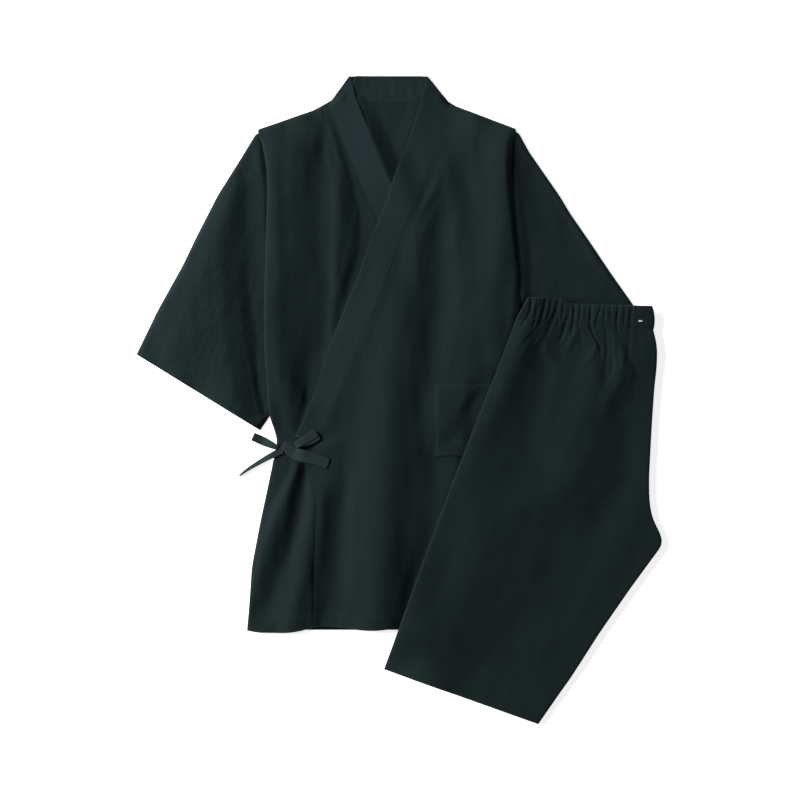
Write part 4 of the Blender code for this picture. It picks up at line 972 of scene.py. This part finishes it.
def loose_end(name, rows):
    """A loose end: rungs across a line, leaning by their twist. Rows: out, down, width, twist, lift."""
    out, down, width, twist, lift = along_path(rows, range(5), 60)
    x, y = on_jacket(out, down)
    run = unit(np.stack([np.gradient(x), np.gradient(y)], 1))
    side = np.column_stack([run[:, 1], -run[:, 0], 0 * x])
    lean = np.radians(twist)
    rung = side * np.cos(lean)[:, None] + np.array([0, 0, 1.0]) * np.sin(lean)[:, None]
    share = TIE_ACROSS[None, :, None] - 0.5
    place = np.stack([x, y, 0 * x], 1)[:, None, :] + share * (rung * width[:, None])[:, None, :]
    ground = sample(tie_rest, place[..., 0], place[..., 1]).mean(axis=1)
    reach = width / 2 * np.abs(np.sin(lean)) + TIE_CLOTH / 2 + GAP
    place[..., 2] += (ground + reach + lift)[:, None]
    return strap(name, place, TIE_CLOTH, 0.8)


def loop_of_bow(name, start, tip, widths, turn, skew):
    """A loop: the strap runs out over the cloth, turns at its tip and comes back above itself.

    Widths are at the foot, halfway and at the tip. Skew is how far to one side the lower run lies.
    """
    foot, far = np.array(on_jacket(*start)), np.array(on_jacket(*tip))
    length, run = np.linalg.norm(far - foot), unit(far - foot)
    side = np.array([run[1], -run[0]])
    angle = np.linspace(-math.pi / 2, math.pi / 2, 15)
    ahead = np.linspace(0, length - turn - TIE_CLOTH / 2, 24)
    along = np.concatenate([ahead[:-1], ahead[-1] + turn * np.cos(angle), ahead[-2::-1]])
    belly = turn * (0.6 + 0.4 * smooth(ahead / length / 0.6))
    height = np.concatenate([-belly[:-1], turn * np.sin(angle), belly[-2::-1]])
    spots = np.linspace(0, 1, 5)
    width = np.interp(along / length, spots, read(tuple(zip((0, 0.5, 1), widths)), spots, 1, 0.2))
    aside = skew * (0.5 - 0.5 * height / turn) * smooth(along / length / 0.7)
    share = TIE_ACROSS[None, :] - 0.5
    x = foot[0] + along[:, None] * run[0] + (share * width[:, None] + aside[:, None]) * side[0]
    y = foot[1] + along[:, None] * run[1] + (share * width[:, None] + aside[:, None]) * side[1]
    ground = sample(tie_rest, x, y).mean(axis=1)
    z = (ground + turn + TIE_CLOTH / 2 + GAP + height)[:, None] + 0 * x
    return strap(name, np.stack([x, y, z], -1), TIE_CLOTH, 0.8)


def knot(name, place, size, turned):
    """The knot: a rounded box, each coordinate a sine or cosine to the power 0.7, with two wraps' grooves."""
    turn, rise = np.linspace(0, 2 * math.pi, 49)[:-1], np.linspace(-math.pi / 2, math.pi / 2, 25)[:, None]

    def full(value):
        """A value to the power 0.7, with its own sign."""
        return np.sign(value) * np.abs(value) ** 0.7

    x0, y0 = on_jacket(*place)
    run = size[0] * np.cos(turn) / 2
    groove = 1 - 0.09 * (bell((run - 3.5) / 1.1) + bell((run + 4) / 1.1)) * np.cos(rise)
    long = size[0] / 2 * full(np.cos(rise)) * full(np.cos(turn))
    short = size[1] / 2 * full(np.cos(rise)) * full(np.sin(turn)) * groove
    x = x0 + long * math.cos(turned) - short * math.sin(turned)
    y = y0 + long * math.sin(turned) + short * math.cos(turned)
    base = sample(tie_rest, np.array([x0]), np.array([y0]))[0] - 1.0
    z = base + size[2] / 2 * (1 + full(np.sin(rise)) * groove) + 0 * turn
    return close_up(surface(name, x, y, z, 0.2, around=True))


ties = (
    (knot("bow_knot", (-138.0, 521.5), (23.0, 16.0, 5.0), -0.4), "tie_knot", None),
    (loop_of_bow("bow_loop_left", (-154, 521.5), (-190, 505.0), (6, 12.5, 12), 0.9, 0.0), "tie_loop_left",
     (0.013, 0.085)),
    (loop_of_bow("bow_loop_right", (-130, 517.5), (-100, 499.5), (10, 11.5, 12), 0.8, 5.0), "tie_loop_right",
     (0.013, 0.075)),
    (loose_end("bow_end_left", ((-148, 524, 10, 0, 0.5), (-158, 529, 9.5, -5, 0), (-171, 535.5, 8, -18, 0),
                                (-184, 543, 7.2, -30, 0), (-197, 551, 6.6, -45, 0), (-209, 560, 6, -65, 0))),
     "tie_end_left", (0.0105, 0.07)),
    (loose_end("bow_end_right", ((-143, 523.5, 11, 0, 2), (-133, 527.5, 15, 0, 2), (-121.8, 532, 17.5, 0, 1.0),
                                 (-106.4, 535.5, 15.5, 0, 0), (-95, 539, 14, 0, 0), (-83.5, 543, 13.5, 0, 0))),
     "tie_end_right", (0.0125, 0.05)),
)
for piece, node, flat in ties:
    finish_piece(piece, tie_cotton, node)

# ------------------------------------------------------------
# The trousers' hidden layers: the back of the leg that shows and the whole of the other leg, folded under
# it along the middle. They show only as a stack of edges, so they are one body with grooves round its side.
TROUSERS_SIDE = ((27, -4.5), (90, -4), (275, -6), (380, -5), (551.5, -1.2))
TROUSERS_RISE = (
    (-28, 180), (-8, 193.8), (17, 203), (51, 212), (97, 226.2), (168, 249.2), (198, 261.2), (217, 272.2),
    (227, 281.5), (234, 291), (241, 298), (248.5, 300.5), (322, 280.4), (397, 262.2), (468, 247.6),
    (495, 240.6), (546, 228.2),
)
UNDER_CASING = ((176, -36), (170, -49), (163, -54), (97, -31), (50, -19), (20, -11), (1, -4))  # across, along
STACK = 4.6  # height of the hidden layers
STACK_MIDDLE = (120.0, 270.0)  # across, along
STACK_EDGE = (  # share of the stack's height, distance in from the outline
    (0.0, 4.0), (0.04, 2.4), (0.14, 1.4), (0.27, 1.6), (0.33, 3.6), (0.39, 1.7), (0.5, 1.3), (0.61, 1.7),
    (0.67, 3.6), (0.73, 1.6), (0.86, 1.4), (0.96, 2.4), (1.0, 4.0),
)
STACK_RINGS = (12, 20, 30, 42, 56, 72, 90, 110, 135, 165, 200, 1e9)


def on_trousers(across, along):
    """X and Y of a place on the trousers: across from their side edge and along it from the waist."""
    x = TROUSERS_CORNER[0] + across * math.cos(TROUSERS_TURN) - along * math.sin(TROUSERS_TURN)
    y = TROUSERS_CORNER[1] - across * math.sin(TROUSERS_TURN) - along * math.cos(TROUSERS_TURN)
    return x, y


trouser_cotton = dyed_cotton("trouser_cotton", pattern, DARK, PALE, 1.0)
across, along, *_ = patch(TROUSERS_SIDE, TROUSERS_RISE, (0,), (0,), (0,), (0,), 6.0)
grid = np.stack([across, along], -1)
outline = np.concatenate([grid[:, 0], grid[-1, 1:-1], grid[::-1, -1], UNDER_CASING])
outline = np.stack(on_trousers(outline[:, 0], outline[:, 1]), -1)
centre = np.array(on_trousers(*STACK_MIDDLE))
reach = np.linalg.norm(outline - centre, axis=1)
below, above = ([(share, inset) for inset in STACK_RINGS] for share in (0.2, 0.6))
shares, insets = np.array(below[::-1] + list(STACK_EDGE) + above).T
inward = np.minimum(insets / reach[:, None], 0.97)
x = outline[:, 0, None] + inward * (centre[0] - outline[:, 0, None])
y = outline[:, 1, None] + inward * (centre[1] - outline[:, 1, None])
under = drape(16.0)
z = sample(under, x, y) + shares * STACK
x, y, z = (np.concatenate([grid, grid[:1]]) for grid in (x, y, z))
layers = close_up(surface("trousers_hidden_layers", x, y, z, 0.1), fill=True)
finish_piece(layers, trouser_cotton, "trousers_layers_below")
heap = np.where(inside(outline, field_x, field_y), under + STACK, heap)

# ------------------------------------------------------------
# The leg that shows: one piece of the cotton, folded at the side and seamed at the rise and the inseam. The
# elastic waist draws it into gathers that die away down the leg, and long soft folds cross it.
GATHERS = (  # along, across, left, right, height
    ((-8.2, 4.5, 3.5, 4.2, -1.5), (6.4, 9.4, 3.5, 4.2, -1.8), (19.7, 10, 3.5, 4.2, -1.5),
     (28.2, 7.2, 3.5, 4.2, -1.2), (40.7, 6, 2.8, 4.2, 0)),
    ((-17, 23.6, 3.5, 4.2, -1.5), (2.5, 27.4, 4.2, 4.2, -2), (15.5, 28.6, 4.2, 4.2, -2),
     (27.8, 27.9, 4.2, 4.2, -0.5), (39.9, 23.7, 4.2, 4.2, -1), (55.5, 18.3, 6.3, 6, -0.6),
     (74.3, 12.3, 6.9, 9.1, -0.2), (91.7, 6.1, 8.4, 8.4, 0)),
    ((-21, 41.6, 3.5, 3.5, -1), (-0.9, 44.1, 4.9, 5.6, -1.8), (12.9, 43.3, 5.6, 6.3, -2),
     (27.9, 43.1, 5.9, 4.8, -0.5), (48, 41.7, 8.3, 6.6, -0.6), (66.7, 39.9, 8.4, 8.4, 0)),
    ((-7.5, 45.7, 2.2, 2.8, 0), (5.7, 50.2, 2.8, 2.8, -0.8), (21.9, 55, 2.8, 2.8, 0)),
    ((-18.6, 59, 3.5, 3.5, 0), (-0.6, 62.9, 4.2, 4.2, -1.6), (10, 62.5, 4.9, 4.2, -2),
     (21.3, 64.3, 4.2, 4.2, -1.2), (32, 63.9, 4.2, 4.2, -1), (44.1, 63.6, 4.2, 4.2, 0)),
    ((-27.2, 61.7, 2.8, 3.5, -1), (-10.2, 68.2, 3.5, 3.5, -1.8), (1.8, 72.1, 3.5, 3.5, -1.6),
     (13, 74.1, 4.2, 4.2, -1.2), (22.4, 77, 4.2, 4.2, 0)),
    ((3.5, 79.5, 3.5, 3.5, 0), (13.6, 88.3, 4.2, 4.2, -0.6), (25.5, 92.4, 5.6, 5.6, -0.6),
     (37.5, 96.3, 5.6, 5.6, 0)),
    ((-31, 79.4, 2.8, 2.8, -0.5), (-16.2, 83.9, 3.5, 3.5, -0.9), (-1.1, 87.5, 3.5, 3.5, 0)),
    ((-34.4, 84.4, 3.5, 3.5, -1), (-15.8, 90.8, 3.5, 4.2, -2), (-1, 95, 3.5, 4.2, -2),
     (9, 104.1, 3.5, 3.5, -1.5), (16.4, 112.2, 3.5, 3.5, -1.1), (19.7, 119.4, 4.2, 5.6, -1.2),
     (39.3, 127, 5.6, 7, -0.6), (59.1, 130.1, 5.6, 7, 0)),
    ((-39.1, 100.6, 3.5, 3.5, -1), (-22.7, 100.9, 3.5, 3.5, -1.5), (-11, 101.7, 3.5, 3.5, -1.5),
     (2.6, 105.4, 3.5, 3.5, 0)),
    ((-16.3, 111.6, 4.2, 5.6, 0), (1.2, 120.7, 4.2, 5, -0.7), (23, 130.3, 4.2, 6, -1),
     (50.3, 137.2, 6.7, 7, -1), (78, 143.3, 7, 7, 0)),
    ((-42.9, 110.4, 3.5, 3.5, -0.8), (-27.2, 116.4, 4.2, 4.2, -1.3), (-12.6, 121.3, 4.2, 4.2, 0)),
    ((-47.1, 121.5, 3.5, 2.8, -1.2), (-29.4, 126.1, 3.5, 3.5, -1.8), (-13, 130.2, 3.5, 3.5, -1.5),
     (-2.8, 139, 3.5, 3.5, -0.3), (12.2, 146.6, 3.5, 3.5, 0)),
    ((-51.3, 140.2, 4.2, 4.2, -1), (-30.7, 145.1, 4.9, 4.9, -1.6), (-11.7, 150.3, 4.2, 5.3, -0.5),
     (12.4, 157.9, 5.2, 7.6, -0.4), (42.2, 166.3, 10.9, 11.2, -1.9), (74.5, 172, 11.2, 11.2, 0)),
    ((-54.7, 145.2, 2.8, 2.8, -0.9), (-31.1, 153.9, 2.8, 2.8, 0)),
    ((-14.6, 13.3, 5.6, 7, 1), (2.9, 14.8, 5.6, 5.6, 1), (15.1, 14.2, 5.6, 5.6, 0)),
    ((1.9, 79.6, 5.6, 5.6, 0), (16.8, 79.9, 5.6, 6.2, 0.9), (32.1, 79.1, 7, 8.4, 1.4), (53.9, 77.1, 7, 8.4, 0)),
    ((7.2, 101.1, 5.6, 7, 0), (23.4, 113.7, 4.2, 7.7, 1), (40.1, 113, 7, 8.1, 1.2), (63.4, 103.2, 9.8, 9.8, 0)),
    ((-21.7, 121.7, 5.6, 5.6, -0.2), (12.9, 136.9, 4.2, 5.3, 0.9), (42.1, 150.7, 4.8, 9, 1.6),
     (72.3, 150.1, 7, 8.4, 0)),
    ((-26.4, 157.3, 8.4, 11.2, 0), (-3.1, 166.9, 9.8, 11.2, -0.4), (21.7, 172.7, 9.8, 11.2, 0)),
    ((15.7, 39.9, 5.6, 7, 0), (37.6, 37.4, 5.6, 5.6, 0.9), (62.6, 30.9, 5.6, 5.6, 0)),
    ((-8.6, 13.4, 2.8, 2.8, -0.7), (7.6, 18.1, 2.8, 3.1, -1.2), (23, 21, 2.8, 2.8, -0.9),
     (37.8, 21.4, 2.8, 3.5, 0)),
    ((-18.5, 31.3, 2.8, 2.8, -0.9), (-2.1, 35.4, 2.8, 3.1, -1.3), (13.8, 37, 2.8, 2.8, -0.5),
     (24.2, 37.2, 2.8, 2.8, 0)),
    ((-18.2, 50.1, 2.8, 2.8, -0.6), (-3.1, 53.7, 2.8, 2.8, -1.1), (9.9, 55, 2.8, 2.8, 0)),
    ((-27.8, 71.2, 2.8, 2.8, -1), (-10.6, 77.1, 2.8, 3.1, -1.3), (3.2, 80.1, 2.8, 2.8, -0.6),
     (14.7, 81.5, 2.8, 2.8, 0)),
    ((-37.5, 104.2, 2.8, 2.8, -0.6), (-22.9, 109.1, 2.8, 3.1, -1.2), (-8, 113.3, 2.8, 2.8, -0.4),
     (4.8, 115.2, 2.8, 2.8, 0)),
    ((-47.5, 130.4, 2.8, 2.8, -0.8), (-32.9, 135.2, 2.8, 3.1, -1.3), (-16.5, 139.3, 2.8, 2.8, -0.5),
     (-2.6, 142.4, 2.8, 2.8, 0)),
)
LEG_FOLDS = (  # along, across, left, right, height
    ((5, 13, 15, 22, 1.4), (23, 13, 15, 22, 1.6), (53, 14, 15, 22, 1.6), (90, 14, 15, 22, 1.6),
     (128, 14, 15, 22, 1.5), (165, 14, 15, 22, 1.2), (203, 14, 15, 22, 0.9), (262, 15, 15, 22, 0.6),
     (322, 15, 15, 22, 0.4), (382, 15, 15, 22, 0.3), (442, 15, 15, 22, 0.3), (502, 16, 15, 22, 0.3),
     (547, 16, 15, 22, 0.3)),
    ((132, 42, 45, 70, 0), (186, 58, 47, 91, 0), (257, 67, 53, 86, 5.5), (345, 72, 73, 95, 7.4),
     (438, 64, 66, 81, 7.4), (499, 62, 58, 67, 7.4), (551, 63, 59, 58, 7.4)),
    ((17, 36, 8, 11, 0), (52, 34, 18, 17, -2), (75, 54, 45, 31, -3.2), (105, 53, 39, 34, -3.2),
     (133, 58, 42, 36, -2.6), (174, 59, 39, 34, -1.2), (210, 64, 34, 34, 0)),
    ((8, 112, 17, 20, 0), (55, 125, 30, 29, 2.5), (108, 144, 45, 52, 4.7), (150, 150, 67, 60, 7.6),
     (199, 141, 73, 61, 7), (249, 127, 73, 62, 6.1), (303, 84, 58, 67, 1.4), (341, 64, 53, 57, 1.2),
     (381, 36, 42, 50, 0)),
    ((-2, 138, 11, 11, 0), (40, 165, 18, 19, 4.5), (79, 160, 21, 31, 3.3), (124, 160, 17, 20, 0)),
    ((-13, 167, 14, 17, 0), (26, 180, 16, 17, -0.3), (73, 194, 22, 20, -0.1), (129, 205, 22, 20, -0.7),
     (184, 219, 25, 35, -2.1), (258, 203, 43, 45, -4.6), (327, 199, 48, 48, -2.4), (385, 182, 52, 53, -3.2),
     (467, 145, 40, 51, -1.5), (529, 120, 42, 42, 0)),
    ((163, 234, 14, 17, 0), (204, 245, 17, 17, -0.3), (237, 257, 18, 26, 0.9), (290, 256, 20, 20, 0.1),
     (342, 255, 20, 20, 0)),
    ((425, 20, 20, 20, 0), (459, 31, 22, 22, 1), (509, 36, 29, 30, 0.6), (553, 54, 22, 25, -0.5)),
    ((136, 149, 70, 84, 0), (204, 168, 84, 92, 2.6), (287, 185, 84, 98, 3.4), (347, 185, 84, 77, 2.4),
     (396, 174, 70, 70, 0)),
    ((241, 167, 20, 28, 0), (282, 166, 28, 34, -2), (328, 163, 28, 34, -2.4), (375, 160, 20, 28, 0)),
)
LEG_RISE = 2.2  # height of the leg between its folds
CASING_SEAM = (-4.5, 27.0)  # across and along of its start, at the side
CASING_SEAM_RUN = (185.0, -55.0)
CASING_SEAM_SLANT = 0.2973
WAIST_ROWS = tuple(np.arange(0, 76, 1.5))


def above_seam(across, along):
    """How far a place lies above the casing's seam, measured along the leg."""
    return CASING_SEAM[1] - CASING_SEAM_SLANT * (across - CASING_SEAM[0]) - along


def leg_lift(x, y):
    """Height of the leg's gathers, folds and small unevenness."""
    across, along = from_trousers(x, y)
    folds = uneven(LEG_FOLDS, across, along, (40, 70), (110, 170), 61)
    folds = folds + sum(fold(rows, along, across, 3.0) for rows in GATHERS)
    rise = 1.6 * smooth(-above_seam(across, along) / 60) - 2.4 * smooth((along - 430) / 120)
    return 0.2 + settled(folds + LEG_RISE + rise)


across, along, left, right, top, hem = patch(
    TROUSERS_SIDE, TROUSERS_RISE, FOLDED_EDGE, HEM_EDGE, WAIST_ROWS, HEM_EDGE, 2.0
)
x, y = on_trousers(across, along)
drop = rim(left, 14.0, 2.4) + rim(right, 4.0, 1.5) + hem_drop(hem)
# Paler narrowly at the edges and the hem, and broadly along the side fold low down and towards its corner at
# the hem.
wear_and_painted_light = np.exp(-np.minimum(np.minimum(left, right), hem) / 2.5)
wear_and_painted_light = wear_and_painted_light + 0.55 * np.exp(-left / 70) * smooth((along - 230) / 150) + 0.6 * np.exp(-(hem + left) / 70)
leg_rest = under + STACK + GAP
leg, z = lay("right_leg_panel", x, y, leg_rest, leg_lift, drop, wear_and_painted_light, crinkle=0.2)
finish_piece(leg, trouser_cotton, "trousers_right_leg")
leg_hem = hem_stitches("right_leg_hem_stitches", x, y, z, hem, (left > 4) & (right > 4))

# ------------------------------------------------------------
# The waist casing: the leg's top edge turned over the elastic and stitched down, drawn in to tight gathers.
CASING_TOP = (  # across, along
    (-0.8, -5.9), (20.3, -14.4), (48.8, -22.5), (60.9, -20.9), (99.1, -33.4), (167.1, -58.2),
)
CASING_END = ((-58.2, 167.1), (-49.9, 173.7), (-41.6, 178.2), (-27.0, 181.0))  # along, across
CASING_WIDTH, CASING_DEPTH, CASING_RISE = 178, 31.0, 2.6
CASING_EDGE = (0.0, 0.01, 0.03, 0.06, 0.1, 0.15, 0.2)  # shares of its depth
columns = np.linspace(0, 1, 240)[None, :]
depth = steps(1.0, CASING_EDGE, (0.0, 0.02, 0.05), 0.05)[0][:, None]
top_across = CASING_TOP[0][0] + columns * (CASING_TOP[-1][0] - CASING_TOP[0][0])
top_along = read(CASING_TOP, top_across, 1, 4.0)
seam_across, seam_along = (start + columns * run for start, run in zip(CASING_SEAM, CASING_SEAM_RUN))
across = top_across + depth * (seam_across - top_across)
along = top_along + depth * (seam_along - top_along)
across = across + (read(CASING_END, along[:, -1:]) - across[:, -1:]) * columns**8
x, y = on_trousers(across, along)


def casing_lift(x, y):
    """Height of the casing's gathers over its elastic, and of the groove of its seam."""
    across, along = from_trousers(x, y)
    from_seam = above_seam(across, along)
    gathers = sum(fold(rows, along, across, 3.0) for rows in GATHERS)
    puff = 0.6 * smooth(from_seam / 8) - 0.5 * bell(from_seam / 1.8)
    return 0.2 + settled(CASING_RISE + 0.75 * gathers + puff)


drop = rim(columns * CASING_WIDTH, 3.0, 2.0) + rim((1 - columns) * CASING_WIDTH, 5.0, 2.5)
drop = drop + rim(depth * CASING_DEPTH, 5.0, 2.5)
casing, z = lay("waist_casing", x, y, leg_rest, casing_lift, drop, np.exp(-depth * 6), crinkle=0.2)
finish_piece(casing, trouser_cotton, "trousers_waistband")
points = np.stack([x, y, z], -1)
seam_row = points[np.argmin(np.abs(depth[:, 0] - 0.93)), 4:-6]
casing_seam = stitches("casing_stitches", [seam_row], jacket_thread, pitch=2.6)
white_thread = dyed_cotton("white_thread", pattern, (0.5, 0.52, 0.5, 1.0), (0.9, 0.9, 0.88, 1.0), 0.4)
TACK = (336.9, 110.6)  # X and Y of its middle
TACK_HALF = 3.9
tack_lines = []
for up in (-0.45, 0.45):  # two long stitches side by side, where the ends of the elastic meet
    level = points.reshape(-1, 3)[np.argmin(np.hypot(x - TACK[0], y - TACK[1] - up)), 2] + 0.1
    tack_x = TACK[0] + np.linspace(-TACK_HALF, TACK_HALF, 9)
    tack_lines.append(np.stack([tack_x, TACK[1] + up + 0 * tack_x, level + 0 * tack_x], -1))
tack = stitches("white_bar_tack", tack_lines, white_thread, size=(7.4, 1.1, 0.6), pitch=TACK_HALF)
